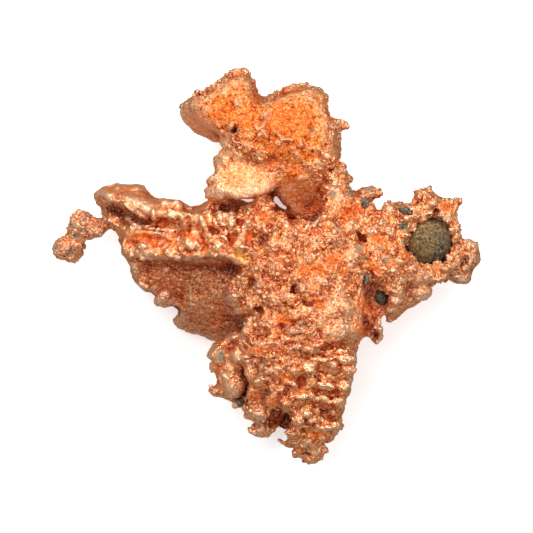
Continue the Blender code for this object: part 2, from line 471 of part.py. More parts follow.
def centre(clay):
    """Thick granular middle, highest along the line of the bottom arm."""
    clay.hull((-3.0, 4.0, 21.0, 2.8), (8.0, 6.5, 23.5, 3.0), (15.0, 5.5, 23.0, 3.0),
              (17.5, -3.0, 22.0, 3.2), (15.5, -12.0, 23.0, 3.5), (2.0, -12.0, 23.5, 3.5),
              (-2.5, -4.0, 22.0, 3.0), (7.0, -3.0, 26.0, 3.2), (10.0, -11.0, 26.0, 3.0))
    clay.hull((-4.0, 2.0, 12.0, 5.0), (10.0, 5.0, 12.0, 5.0), (17.0, -2.0, 12.0, 5.0),
              (14.0, -12.5, 12.0, 4.2), (-3.0, -11.5, 11.0, 4.5), (0.0, 0.0, 19.0, 5.0),
              (13.0, -2.0, 19.0, 5.0), (13.0, -12.0, 19.0, 4.5), (0.0, -11.0, 18.5, 4.5))
    clay.lump((4.0, -2.0, 10.0), (12.0, 10.0, 7.8), (0.0, 5.0, 25.0))
    clay.lump((13.0, 3.0, 9.5), (8.0, 8.0, 7.0), (0.0, -6.0, 0.0))
    # knobs that spill over the edge of the brown face
    clay.limb((-2.5, -3.5, 20.0, 2.6), (-5.6, -3.0, 21.6, 1.6), (-7.0, -4.6, 20.6, 1.3))
    clay.limb((-2.5, -5.5, 20.0, 2.6), (-5.8, -6.2, 21.4, 1.7), (-8.2, -5.8, 18.8, 1.2))
    clay.limb((-2.0, -8.0, 20.0, 2.6), (-5.2, -8.6, 20.8, 1.5))
    clay.limb((-2.5, -12.5, 18.0, 2.6), (-5.4, -14.2, 18.6, 1.7), (-7.4, -14.6, 16.0, 1.5))
    # swellings that carry the finer grain
    clay.lumps((1.6, 4.4, 25.6, 2.2, 1.6, 1.7), (5.6, 6.4, 26.0, 2.0, 1.6, 1.8),
               (9.6, 5.2, 26.4, 2.4, 2.0, 1.8), (13.4, 5.6, 25.6, 2.2, 2.4, 2.0),
               (11.6, 8.6, 24.4, 2.4, 1.8, 1.9), (17.4, 7.8, 23.2, 2.6, 2.2, 2.0),
               (16.6, 2.2, 25.2, 2.4, 2.6, 1.8), (8.0, 1.2, 27.6, 3.0, 2.2, 1.7),
               (2.6, 0.0, 26.8, 2.6, 2.0, 1.8), (-1.4, -0.2, 25.6, 2.0, 1.6, 1.7),
               (12.4, -0.8, 27.4, 2.2, 2.0, 1.6), (-1.4, -3.2, 25.2, 1.7, 2.0, 1.8),
               (2.6, -6.4, 27.2, 3.0, 2.0, 1.8), (8.6, -5.0, 28.0, 2.6, 1.9, 1.6),
               (13.6, -4.6, 26.6, 2.4, 2.0, 1.8), (-2.6, -7.6, 24.6, 2.2, 1.8, 1.8),
               (5.6, -9.2, 28.0, 2.6, 1.6, 1.6), (14.2, -8.4, 27.0, 2.8, 2.6, 1.8),
               (13.0, -12.6, 27.0, 3.6, 2.6, 1.9), (6.2, -13.2, 28.2, 3.2, 1.7, 1.5),
               (0.6, -11.0, 26.4, 2.6, 1.9, 1.8), (-3.0, -12.6, 24.2, 2.6, 1.7, 1.9),
               (18.2, -1.0, 24.0, 2.2, 2.2, 1.8), (17.0, -11.4, 24.6, 2.2, 2.8, 2.0))


def right_arm(clay):
    """Granular arm that holds the pebble, with nubs along its upper edge and a smooth tip."""
    clay.plate(RIGHT_ARM, slope(8.0, 0.06, 0.0), slope(19.4, -0.06, 0.0), 3.4)
    clay.knobs_along(RIGHT_ARM, range(0, len(RIGHT_ARM) - 4), 8.5, 17.0, 1.2, 7)
    clay.hull((18.0, 8.0, 12.0, 4.0), (33.0, 8.0, 11.0, 3.4), (37.0, 2.2, 11.5, 2.4),
              (27.4, -4.6, 11.5, 3.0), (18.0, -5.0, 12.0, 4.0), (21.0, 6.0, 18.0, 3.5),
              (26.0, -3.0, 17.8, 3.0), (21.0, -2.0, 19.0, 3.0))
    clay.lump((27.0, 2.5, 8.6), (8.6, 7.6, 9.7), (0.0, -4.0, 10.0))
    clay.lump((36.0, 2.0, 11.0), (5.0, 5.5, 5.0))
    # ring of metal round the pebble
    clay.limb((27.0, 1.2, 20.0, 2.4), (26.6, 6.6, 20.0, 2.0), (28.6, 11.2, 19.0, 1.9),
              (33.0, 12.4, 18.0, 1.9), (36.9, 9.6, 17.2, 1.5), (38.0, 5.4, 16.6, 1.4),
              (37.2, 0.6, 16.8, 1.8), (33.6, -1.4, 17.6, 1.9), (29.4, -1.6, 19.4, 2.4),
              (27.0, 1.2, 20.0, 2.4))
    # granular upper side towards the centre
    clay.hull((19.5, 8.5, 21.0, 2.6), (25.5, 8.5, 20.0, 2.2), (26.5, -1.0, 20.0, 2.6),
              (20.0, 0.0, 22.5, 2.6))
    clay.lumps((19.8, 14.4, 18.5, 1.5), (21.4, 14.6, 17.8, 1.4), (19.2, 11.8, 20.5, 2.2),
               (23.6, 10.2, 20.0, 1.9), (30.3, 14.4, 17.0, 1.2), (32.7, 15.3, 16.5, 0.9),
               (31.6, 13.4, 18.0, 1.7), (34.6, 12.4, 17.4, 1.3), (38.0, 12.9, 16.4, 1.2),
               (36.6, 11.6, 17.0, 1.5), (37.9, 8.0, 16.8, 1.0), (26.6, 11.0, 18.8, 1.5),
               (22.0, 4.0, 23.0, 2.2, 2.0, 1.8), (24.0, -0.6, 22.4, 2.4, 2.0, 1.8),
               (22.6, 7.4, 22.2, 1.8, 1.6, 1.6), (20.6, -3.4, 22.0, 1.9), (25.6, -4.2, 20.6, 2.0))
    # smooth tip lobe and the smooth swelling below the pebble
    clay.lumps((40.6, 2.2, 15.2, 2.4, 2.6, 3.0), (39.1, -1.7, 14.6, 1.9, 1.9, 2.6),
               (39.6, 0.2, 13.0, 2.0, 2.2, 2.6), (30.2, -4.6, 17.4, 2.2, 2.6, 2.8),
               (28.0, -6.8, 16.8, 2.4, 2.2, 2.6))


def fang(clay):
    """Hooked tooth beside the deep red-brown notch."""
    clay.plate(FANG, level(9.0), slope(17.5, 0.0, 0.05), 1.2)
    clay.limb((22.4, -10.6, 17.8, 1.0), (22.7, -12.8, 18.0, 0.9), (22.2, -14.6, 17.2, 0.8))
    clay.lumps((25.2, -7.8, 18.6, 1.6), (26.4, -6.0, 19.8, 1.6), (19.4, -8.6, 19.6, 1.5))


def bottom_arm(clay):
    """Tapering arm of stacked, overlapping ledges, ending in a hooked tip."""
    clay.plate(BOTTOM_ARM, slope(8.5, 0.0, -0.10), slope(18.5, 0.0, 0.03), 3.0)
    clay.knobs_along(BOTTOM_ARM, range(3, len(BOTTOM_ARM) - 5), 10.0, 17.0, 1.2, 11)
    clay.hull((-1.0, -16.0, 23.0, 3.0), (14.0, -17.0, 22.0, 3.2), (13.6, -23.0, 20.0, 2.8),
              (12.0, -30.0, 18.0, 2.4), (6.0, -30.0, 20.0, 2.4), (0.5, -23.0, 21.5, 2.6),
              (7.0, -18.0, 25.0, 2.8), (7.5, -26.0, 22.5, 2.4))
    clay.hull((-1.0, -15.0, 12.0, 4.6), (13.5, -16.0, 12.0, 4.4), (12.2, -27.0, 12.5, 3.4),
              (3.0, -26.0, 12.0, 3.6), (9.0, -34.0, 13.5, 2.4), (13.0, -17.0, 19.0, 4.0),
              (12.0, -26.0, 17.5, 3.4), (0.5, -18.0, 19.0, 4.0))
    clay.lump((7.5, -18.5, 9.2), (8.6, 8.6, 10.1), (6.0, 4.0, 0.0))
    clay.lump((9.0, -29.0, 11.5), (5.0, 7.0, 6.0), (-10.0, 0.0, 0.0))
    # ledges, each a row of knobs that steps back as the arm runs down
    # y, z, first x, last x, width and height of the knobs of each
    ledges = [
        (-15.6, 27.6, -1.0, 9.0, 2.1, 1.5), (-17.6, 26.6, 9.5, 16.5, 1.8, 1.2),
        (-18.2, 27.0, 1.0, 8.0, 2.2, 1.4), (-20.4, 25.2, 9.6, 16.6, 1.8, 1.1),
        (-20.8, 26.4, 0.0, 9.2, 2.0, 1.4), (-23.2, 24.2, 9.4, 15.8, 1.9, 1.2),
        (-23.6, 25.2, -1.0, 7.0, 1.9, 1.4), (-26.6, 23.0, 8.6, 14.6, 2.0, 1.4),
        (-26.4, 23.8, 1.0, 6.6, 1.7, 1.3), (-29.4, 21.8, 5.8, 9.6, 1.9, 1.5),
        (-31.4, 20.8, 10.4, 14.0, 1.7, 1.2), (-32.4, 20.0, 5.0, 9.0, 1.8, 1.5),
        (-34.6, 18.0, 6.0, 11.0, 1.6, 1.3),
    ]
    for y, z, first, last, wide, high in ledges:
        steps = max(2, round((last - first) / (wide * 1.25)) + 1)
        for step in range(steps):
            x = first + (last - first) * step / (steps - 1)
            place = (x, y + 0.6 * math.sin(1.3 * x + 2.0 * y), z + 0.5 * math.sin(2.1 * x + y))
            clay.lump(place, (wide, high, high * 1.25), (-18.0, 0.0, 0.0))
    # tip
    clay.lumps((8.9, -37.6, 15.6, 1.9, 2.0, 2.4), (10.6, -36.0, 16.4, 1.2, 1.5, 2.0),
               (5.4, -36.6, 15.6, 0.75, 1.6, 1.5), (12.8, -33.6, 16.6, 1.5, 1.2, 1.8))
    clay.limb((5.2, -35.4, 15.6, 0.9), (3.6, -35.2, 15.4, 0.75), (2.6, -34.6, 15.2, 0.6))


def lower_lobes(clay):
    """Cluster of round lobes at the lower left, above the small hooked lobe and the eye."""
    clay.plate(LOWER_LOBES, level(9.0), slope(16.0, 0.15, 0.0), 2.4)
    clay.knobs_along(LOWER_LOBES, range(1, len(LOWER_LOBES) - 5), 9.5, 15.0, 1.1, 13)
    clay.lumps((-9.0, -17.4, 18.0, 2.3, 2.2, 2.4), (-10.2, -19.9, 16.4, 1.3, 1.4, 1.6),
               (-7.2, -21.2, 18.6, 2.5, 3.0, 2.8), (-6.8, -24.2, 17.8, 2.4, 2.2, 2.6),
               (-10.2, -24.7, 15.4, 1.2, 1.4, 1.6), (-5.0, -17.6, 20.6, 2.6, 2.0, 2.2),
               (-3.6, -14.6, 22.6, 2.4, 1.6, 2.0), (-2.2, -25.0, 20.0, 2.0, 2.4, 2.6),
               (-1.6, -28.8, 18.6, 2.6, 2.2, 2.8), (-1.0, -32.6, 15.2, 1.9, 1.3, 1.7),
               (0.6, -26.4, 21.0, 1.8, 1.6, 1.8), (3.0, -26.8, 21.4, 1.4, 1.5, 1.6),
               (-4.2, -29.2, 16.2, 0.8, 1.0, 1.2), (-2.6, -21.0, 22.0, 2.2, 2.0, 2.0))
    clay.hull((-8.0, -18.0, 11.0, 3.0), (-7.0, -24.0, 11.5, 2.4), (-1.0, -29.0, 12.0, 2.6),
              (2.0, -20.0, 10.0, 4.0))


def underside(clay):
    """Broken lumps over the back, deeper away from the rim and all clear of the level it rests on."""
    dice = random.Random(29)
    arms = ((TOP_ARM, 22), (LEFT_CREST, 16), (RIGHT_ARM, 24), (BOTTOM_ARM, 22), (LOWER_LOBES, 10))
    for outline, count in arms:
        corners = np.array(outline)
        low, high = corners.min(axis=0), corners.max(axis=0)
        placed = 0
        while placed < count:
            x, y = (dice.uniform(low[axis], high[axis]) for axis in range(2))
            depth = rim_distance(outline, x, y)
            if depth < BACK_RIM or not inside(outline, np.array([[x, y]]))[0]:
                continue
            radius = dice.uniform(*BACK_LUMPS)
            floor = max(BACK_DEPTH - BACK_SLOPE * depth, 0.0) + dice.uniform(*BACK_CLEAR)
            clay.limb((x, y, floor + radius, radius), (x, y, BACK_ROOT, radius * 1.3))
            placed += 1


def hollows():
    """Pits, slits and dark recesses that are scooped out of the metal."""
    clay = Clay()
    # room over the chute between the flap and the right flank of the top arm
    clay.hull((4.4, 16.6, 26.2, 2.0), (8.2, 17.2, 26.8, 2.0), (4.6, 13.8, 23.0, 2.2),
              (8.9, 13.8, 22.8, 2.4), (6.0, 11.8, 20.4, 2.2), (8.9, 10.6, 19.0, 2.2),
              (6.4, 12.6, 28.0, 2.4), (9.0, 11.2, 27.0, 1.8))
    # pit in the sandy face and pocket above the flap
    clay.lump((-6.2, 26.6, 24.8), (0.9, 1.6, 3.4), (0.0, 0.0, -10.0))
    clay.lump((1.4, 20.9, 25.4), (1.4, 1.0, 2.2))
    clay.limb((-9.0, 11.3, 21.5, 0.7), (-5.0, 13.0, 20.0, 0.9))
    # glowing hollow and grooves of the left arm
    clay.lump((-24.6, 5.3, 22.0), (2.5, 1.3, 2.6), (0.0, 0.0, 8.0))
    clay.lump((-29.2, 10.6, 19.6), (3.0, 1.2, 2.4), (0.0, 0.0, -8.0))
    clay.lump((-24.0, 9.0, 20.2), (2.4, 1.0, 2.0), (0.0, 0.0, -12.0))
    clay.lump((-20.6, 8.6, 21.0), (1.9, 0.9, 2.0))
    # recess at the right end of the brown face
    clay.lump((-5.6, -11.2, 17.0), (1.9, 2.0, 6.5), (0.0, 25.0, 0.0))
    clay.lump((-3.2, -3.2, 26.0), (0.7, 1.3, 3.5), (0.0, 0.0, 25.0))
    clay.lump((-1.8, -8.6, 26.6), (1.3, 0.9, 2.2))
    # pits of the centre
    clay.lump((5.4, -4.6, 29.6), (0.9, 0.8, 3.0))
    clay.lump((19.0, 5.4, 25.6), (1.5, 0.8, 3.4), (0.0, 0.0, -35.0))
    clay.lump((-1.2, 5.8, 26.4), (1.2, 0.9, 3.0))
    # deep notch inside the fang
    clay.lump((21.4, -6.6, 22.5), (2.0, 4.0, 6.0), (0.0, 0.0, 12.0))
    clay.lump((21.4, -13.9, 18.5), (1.3, 0.9, 3.2), (0.0, 0.0, -20.0))
    # dark cavity and see-through eye of the lower lobes
    clay.lump((3.9, -30.4, 20.0), (1.3, 2.2, 5.0), (0.0, 0.0, 10.0))
    clay.lump((-4.4, -24.6, 21.0), (0.8, 2.6, 4.4), (0.0, 0.0, 0.0))
    clay.lump((7.0, -22.8, 27.0), (1.2, 1.3, 3.0))
    return clay


def openings():
    """Narrow ways right through the metal: under the flap, beside the trough and the eye of a lobe."""
    slit = [(-4.9, 13.4), (-4.9, 13.15), (-4.3, 12.95), (-2.8, 13.0), (-2.7, 13.15), (-3.4, 13.4)]
    sliver = [(1.45, 14.7), (1.6, 13.9), (1.85, 12.8), (2.6, 12.15), (3.5, 11.75), (4.05, 11.4),
              (4.1, 11.55), (3.4, 12.1), (2.7, 12.8), (2.45, 13.4), (1.85, 14.0), (1.55, 14.7)]
    eye = [(0.8, -32.4), (1.2, -32.4), (1.3, -31.9), (1.0, -31.6)]
    clay = Clay()
    for outline, top in ((slit, 24.0), (sliver, 35.0), (eye, 35.0)):
        clay.plate(outline, level(-5.0), level(top), 0.02)
    return clay


def inside(outline, places):
    """For each place, whether it lies within an outline seen from above."""
    x, y = places[:, 0], places[:, 1]
    within = np.zeros(len(places), bool)
    for (x0, y0), (x1, y1) in zip(outline, outline[1:] + outline[:1]):
        if y0 == y1:
            continue
        spans = (y0 > y) != (y1 > y)
        within ^= spans & (x < (x1 - x0) * (y - y0) / (y1 - y0) + x0)
    return within


def rim_distance(outline, x, y):
    """The distance from a place to the nearest edge of an outline."""
    spot = Vector((x, y))
    nearest = math.inf
    for first, second in zip(outline, outline[1:] + outline[:1]):
        start = Vector(first)
        along = Vector(second) - start
        share = min(max((spot - start).dot(along) / along.length_squared, 0.0), 1.0)
        nearest = min(nearest, (spot - start - along * share).length)
    return nearest


def swell(item, height, pitch):
    """Raise soft domes about a pitch wide on the skin, and lower ones on its smooth parts."""
    mesh = item.data
    count = len(mesh.vertices)
    places = np.empty(count * 3)
    normals = np.empty(count * 3)
    mesh.vertices.foreach_get("co", places)
    mesh.vertices.foreach_get("normal", normals)
    places = places.reshape(count, 3)
    normals = normals.reshape(count, 3)
    lifts = np.empty(count)
    for index, place in enumerate(places):
        distances, _ = noise.voronoi(Vector(place) / pitch, distance_metric="DISTANCE")
        dome = min(distances[1] - distances[0], 0.5) * 2.0
        waves = noise.noise(Vector(place) / (2.0 * pitch))
        lifts[index] = height * (dome ** 0.6 - 0.55 + 0.5 * waves)
    for outline, share in SMOOTH_PARTS:
        lifts[inside(outline, places) & (normals[:, 2] > 0.0)] *= share
    places += normals * lifts[:, None]
    mesh.vertices.foreach_set("co", places.ravel())
    mesh.update()


def crumple(item, reach, pitch):
    """Push the skin of the back about, so that it is broken up instead of round."""
    for vertex in item.data.vertices:
        share = min(max((BACK_TOP - vertex.co.z) / BACK_FADE, 0.0), 1.0)
        if share > 0.0:
            push = noise.noise_vector(vertex.co / pitch) + noise.noise_vector(vertex.co * 2.3 / pitch) * 0.4
            vertex.co += Vector((push.x, push.y, push.z * 0.5)) * reach * share


def nugget():
    """The whole growth of metal."""
    clay = Clay()
    for region in (top_arm, shell_flap, left_arm, brown_face, far_left_bead, centre, right_arm, fang,
                   bottom_arm, lower_lobes, underside):
        region(clay)
    body = clay.body("copper_nugget")
    fuse(body, VOXEL)
    cut(body, hollows(), VOXEL * 0.5)
    fuse(body, VOXEL)
    soften(body, 0.5, 1)
    crumple(body, BACK_REACH, BACK_PITCH)
    swell(body, GRAIN_SWELL, GRAIN_PITCH)
    fuse(body, VOXEL)
    cut(body, openings())
    thin_out(body, SKIN_TRIANGLES)
    return body


def thin_out(item, triangles):
    """Keep the given number of triangles, most where the skin bends most."""
    item.data.calc_loop_triangles()
    collapse = item.modifiers.new("thin_out", "DECIMATE")
    collapse.ratio = triangles / len(item.data.loop_triangles)
    apply_modifiers(item)


def flatten_feet(item):
    """Cut the lowest lumps off flat where the nugget rests."""
    work = bmesh.new()
    work.from_mesh(item.data)
    halves = bmesh.ops.bisect_plane(work, geom=work.verts[:] + work.edges[:] + work.faces[:],
                                    plane_co=(0.0, 0.0, 0.0), plane_no=(0.0, 0.0, 1.0), clear_inner=True)
    rim = [edge for edge in halves["geom_cut"] if isinstance(edge, bmesh.types.BMEdge)]
    bmesh.ops.contextual_create(work, geom=rim)
    bmesh.ops.triangulate(work, faces=work.faces[:])
    work.to_mesh(item.data)
    work.free()


# The stones held in the metal

def grown(points, centre, margin):
    """Points moved away from a centre by a margin."""
    return [point + (point - centre).normalized() * margin for point in points]


def open_pocket(clay, points, centre, rise):
    """The room round a stone, and above it as far as the stone can be seen."""
    room = grown(points, centre, SOCKET_GAP)
    clay.tight_skin(room + [point + Vector((0.0, 0.0, rise)) for point in room if point.z > centre.z])


def pebble(clay):
    """Round stone, slightly lumpy, set a little below the rim of its well."""
    part = bmesh.new()
    bmesh.ops.create_icosphere(part, subdivisions=3, radius=PEBBLE_RADIUS)
    for vertex in part.verts:
        vertex.co *= 1.0 + 0.05 * noise.noise(vertex.co / 2.6) + 0.02 * noise.noise(vertex.co / 1.1)
    bmesh.ops.scale(part, vec=(1.02, 1.0, 0.92), verts=part.verts)
    bmesh.ops.translate(part, vec=PEBBLE_PLACE, verts=part.verts)
    open_pocket(clay, [vertex.co.copy() for vertex in part.verts], Vector(PEBBLE_PLACE), 12.0)
    mesh = bpy.data.meshes.new("pebble")
    part.to_mesh(mesh)
    part.free()
    return link("pebble", mesh)


def chip(clay, surface, name, x, y, along, across, turn, seed):
    """Angular chip of rock that peeps out of the skin where it lies."""
    top, _, _, _ = surface.ray_cast(Vector((x, y, 60.0)), Vector((0.0, 0.0, -1.0)))
    deep = across * CHIP_REACH
    centre = Vector((x, y, top.z + 0.25 * across - 0.5 * deep))
    dice = random.Random(seed)
    radii = Vector((along, across, deep)) / 2.0
    shape = Matrix.LocRotScale(centre, Euler((0.0, 0.0, math.radians(turn))), radii)
    points = []
    for _ in range(CHIP_CORNERS):
        away = Vector([dice.gauss(0.0, 1.0) for _ in range(3)]).normalized()
        points.append(shape @ away)
    open_pocket(clay, points, centre, across)
    stone = Clay()
    stone.tight_skin(points)
    return stone.body(name)


def middle(item):
    """The middle of an object's box seen from above."""
    xs = [vertex.co.x for vertex in item.data.vertices]
    ys = [vertex.co.y for vertex in item.data.vertices]
    return Vector(((min(xs) + max(xs)) / 2.0, (min(ys) + max(ys)) / 2.0, 0.0))


def finish(item, slot, centre):
    """Set a piece about the origin, turn millimetres into metres and give it its material."""
    item.data.transform(Matrix.Scale(MM, 4) @ Matrix.Translation(-centre))
    item.data.materials.append(slot)


def build():
    clear_scene()
    metal = nugget()
    surface = BVHTree.FromObject(metal, bpy.context.evaluated_depsgraph_get())
    pockets = Clay()
    round_stone = pebble(pockets)
    chips = [chip(pockets, surface, *details) for details in CHIPS]
    cut(metal, pockets)
    flatten_feet(metal)
    centre = middle(metal)
    finish(metal, material("copper", COPPER), centre)
    finish(round_stone, material("pebble_stone", PEBBLE_STONE), centre)
    matrix_stone = material("matrix_stone", MATRIX_STONE)
    for stone in chips:
        finish(stone, matrix_stone, centre)


build()
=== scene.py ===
"""Looks of the native copper nugget: its crusted metal skin, the pebble, the chips and the grains of copper.

Places are in millimetres on a plan seen from above, with +X to the arm that holds the pebble and
+Y to the two-peaked arm. They become metres in the frame of the CAD when a piece is finished.
"""

import json
import math

import bmesh
import bpy
import numpy as np
from mathutils import Matrix, Vector
from mathutils.bvhtree import BVHTree

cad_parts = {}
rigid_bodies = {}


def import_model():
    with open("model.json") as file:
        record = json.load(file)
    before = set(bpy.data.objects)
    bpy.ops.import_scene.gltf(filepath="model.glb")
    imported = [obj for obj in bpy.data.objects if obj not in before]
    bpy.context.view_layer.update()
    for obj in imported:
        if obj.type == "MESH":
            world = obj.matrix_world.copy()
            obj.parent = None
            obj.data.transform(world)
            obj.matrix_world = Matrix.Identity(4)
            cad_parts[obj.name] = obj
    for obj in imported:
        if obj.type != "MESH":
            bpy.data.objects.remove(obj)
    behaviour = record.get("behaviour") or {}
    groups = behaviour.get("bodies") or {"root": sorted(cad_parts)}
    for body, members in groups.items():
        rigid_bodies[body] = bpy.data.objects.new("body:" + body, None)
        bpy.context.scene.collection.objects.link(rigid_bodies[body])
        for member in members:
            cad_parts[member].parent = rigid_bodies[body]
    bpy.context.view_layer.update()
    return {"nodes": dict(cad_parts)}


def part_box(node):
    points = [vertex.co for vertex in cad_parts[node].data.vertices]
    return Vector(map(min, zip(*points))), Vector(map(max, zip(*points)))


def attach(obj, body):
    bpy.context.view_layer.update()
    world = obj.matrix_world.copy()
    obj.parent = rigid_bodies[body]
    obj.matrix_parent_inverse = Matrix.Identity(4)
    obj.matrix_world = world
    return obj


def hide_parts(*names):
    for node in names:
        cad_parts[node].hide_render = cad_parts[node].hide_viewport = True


MM = 0.001
PEBBLE_ON_PLAN = (32.23, 4.97)  # middle of the pebble on the plan, which ties the plan to the frame

# The skin of the metal
CORE_CELL = 0.32            # voxel in which the solid under the skin is worn down
CORE_ROUNDING = 4           # passes that wear down its facets
CELL = 0.22                 # voxel in which the skin is fused
ROUNDING = 2                # passes that melt the knobs and ridges into the skin
SKIN_TRIANGLES = 196000
SHARP_EDGE = 60.0           # bend from which an edge of the skin is shown sharp, in degrees
REST_LEVEL = 0.02           # lowest level that the skin may reach
BACK_NORMAL = -0.3          # skin that faces further down than this is the back
BACK_RELIEF = 0.35          # its share of the relief
STREAK_TURN = -20.0         # way that the streaks of the brown face run
FINE_HOLLOWS = (6, 0.15)    # passes and depth by which the small hollows of the skin are found
BROAD_HOLLOWS = (60, 0.6)
WALL_BEADS = 300            # beads on the steep walls
WALL_BEAD_RADII = (0.35, 0.85)
WALL_BEAD_DEPTH = 0.78      # how deep their middles lie, in radii
SMOOTH_WALLS = ("facet", "tip", "trough", "swelling")  # stretches that have none

# The grains of the crust
GRAIN_MEDIAN = math.log(0.40)  # of their radii
GRAIN_SPREAD = 0.42
GRAIN_RADII = (0.18, 1.0)
GRAIN_POINTS = tuple(range(9, 15)) * 2  # points round which each kind of grain is broken
SANDY_GRAINS = 0.35         # how much smaller the grains of the sandy face are
GRAIN_SHARES = {"grainy": 1.0, "band": 0.12, "sandy": 0.16, "stacked": 0.12, "lobes": 0.6, "notch": 0.6,
                "far": 1.6, "pale": 0.15, "flap": 0.01, "swelling": 0.08}
CRUSTS = {  # grains of each piece of crust, and its stretch of the plan
    "crust_top_arm": (420, [(-20, 42), (20, 42), (20, 15.5), (-20, 12.9)]),
    "crust_left_arm": (120, [(-46, 20), (-20, 12.9), (-5, 14), (-4.6, -15), (-46, -15)]),
    "crust_centre": (900, [(-5, 14), (18, 15.4), (18.5, -15), (-4.6, -15)]),
    "crust_right_arm": (600, [(18, 15.4), (18.5, 18), (46, 18), (46, -17), (18.5, -17)]),
    "crust_bottom_arm": (420, [(-14, -15), (18.5, -15), (22, -42), (-14, -42)]),
}

# The stones
PEBBLE_SWELL = 0.3          # how far the pebble's crust fills the gap to the metal
# Way to the pebble's side that faces the lamps, which is painted more golden as painted light
PEBBLE_LIT_SIDE = (-0.66, 0.62, 0.42)
CHIP_CELL = 0.09            # voxel in which a chip is fused
CHIP_SWELL = 0.12

# The camera looks straight down on the nugget
FRAME_WIDTH = 106.6         # width of the picture at the widest level of the nugget
WIDEST_LEVEL = 13.0
CAMERA_HEIGHT = 1200.0
SENSOR_WIDTH = 36.0


# Stretches of the plan that differ from the grainy rest: how softly each ends, whether it is on the upper
# side alone, and its outline
STRETCHES = {
    # The brown face turns down and away from the light; its dark brown tone is painted shade, its streaks are
    # its own scratches
    "brown": (0.5, True, [(-28.8, 1.9), (-20, 2), (-12, 2.3), (-7.8, 2.6), (-5.6, 1.6), (-7.5, -3.5),
        (-5.5, -6.5), (-4.6, -9.5), (-6.5, -14.5), (-13, -15.5), (-19, -12.5), (-18.5, -9.5), (-22.5, -8.5),
        (-28.5, -2)]),
    "flap": (0.5, True, [(0.6, 20.4), (-2, 21.6), (-5, 22.6), (-9.6, 23.2), (-11.4, 21), (-11.2, 18.4),
        (-12.4, 17.2), (-11.6, 15.6), (-13, 14.4), (-10.6, 13.4), (-7, 13), (-3, 13.6), (1.4, 14.6),
        (2.2, 17.5)]),
    "facet": (0.4, False, [(-18.4, 30.9), (-16.2, 31.2), (-13.4, 29.9), (-10.6, 28.2), (-8, 26.8),
        (-7.4, 24.6), (-9.5, 22.8), (-13, 25)]),
    "trough": (0.6, True, [(2, 17.2), (3.4, 18), (5.6, 17.6), (7.6, 18.4), (9.4, 16.4), (10.8, 13.4),
        (11, 10.6), (9.6, 8.6), (7, 9.8), (4.6, 10.4), (3, 13), (1.4, 15.2)]),
    "ledge": (0.8, False, [(-35, 17.5), (-35.2, 13), (-28.6, 12.8), (-27, 11.2), (-24, 9.8), (-18, 9.4),
        (-12, 9.8), (-11, 13.6), (-20, 14.8), (-25, 18)]),
    "sandy": (0.9, True, [(-15.8, 31.2), (-13.4, 30), (-8, 27.2), (-5, 24.6), (-1, 23.6), (2, 20.4),
        (6, 19.6), (9.6, 21.4), (11.8, 25), (12.4, 30.6), (10.6, 35), (5, 35.4), (0, 32.4), (-3, 36),
        (-6, 38.4), (-11.5, 34)]),
    "band": (0.8, False, [(-33.5, 13), (-28.5, 12.8), (-24, 9.8), (-18, 9.4), (-12, 9.8), (-5, 12.8),
        (-3, 6), (-4, 0.4), (-12, 0.8), (-20, 0.8), (-29, 1), (-30.5, 8)]),
    # The slope under the ledge's crest, painted dark brown as its shade
    "slope": (0.4, True, [(-33.2, 12.4), (-28.6, 12.4), (-27, 11), (-24.6, 9.6), (-22.4, 7.4), (-23.4, 6.8),
        (-27, 8), (-31, 9.6), (-33.4, 10.6)]),
    "tip": (0.8, False, [(37, 5.4), (41.6, 5.6), (43.6, 1.4), (41.4, -3.2), (38.4, -4.2), (36.6, -2.6),
        (37.4, 1)]),
    "swelling": (0.8, False, [(27.6, -2.6), (32.6, -1.6), (33, -5), (29.6, -8.4), (26.8, -7)]),
    "pale": (1.0, True, [(11, -6.4), (15, -5.2), (17.6, -7), (17.8, -12.6), (15.4, -15.4), (12, -14.6),
        (10.6, -10)]),
    "stacked": (1.2, False, [(8, -15.6), (12, -15), (18.6, -15.4), (19, -19), (16, -30), (13.6, -34.6),
        (8, -33), (5, -27), (6, -20)]),
    "lobes": (0.8, False, [(-12, -14.8), (-5, -16.4), (-2.4, -20), (-1.4, -26), (2, -30), (1.6, -34.6),
        (-4, -34.2), (-7, -27.6), (-12, -26.6)]),
    "notch": (0.6, False, [(18.6, -3.4), (21.6, -3.2), (24.2, -7), (24.6, -10.4), (22.6, -15.4),
        (19.2, -14.4), (18, -10)]),
    "far": (0.5, False, [(-43.5, 6), (-40, 12.2), (-34, 12), (-31.8, 9.6), (-33, 6.4), (-36.4, 4.4),
        (-38, 0), (-43.5, 1)]),
}
# What another kind of surface covers, where both show
COVERED_BY = {"ledge": "band", "sandy": "facet", "stacked": "pale"}
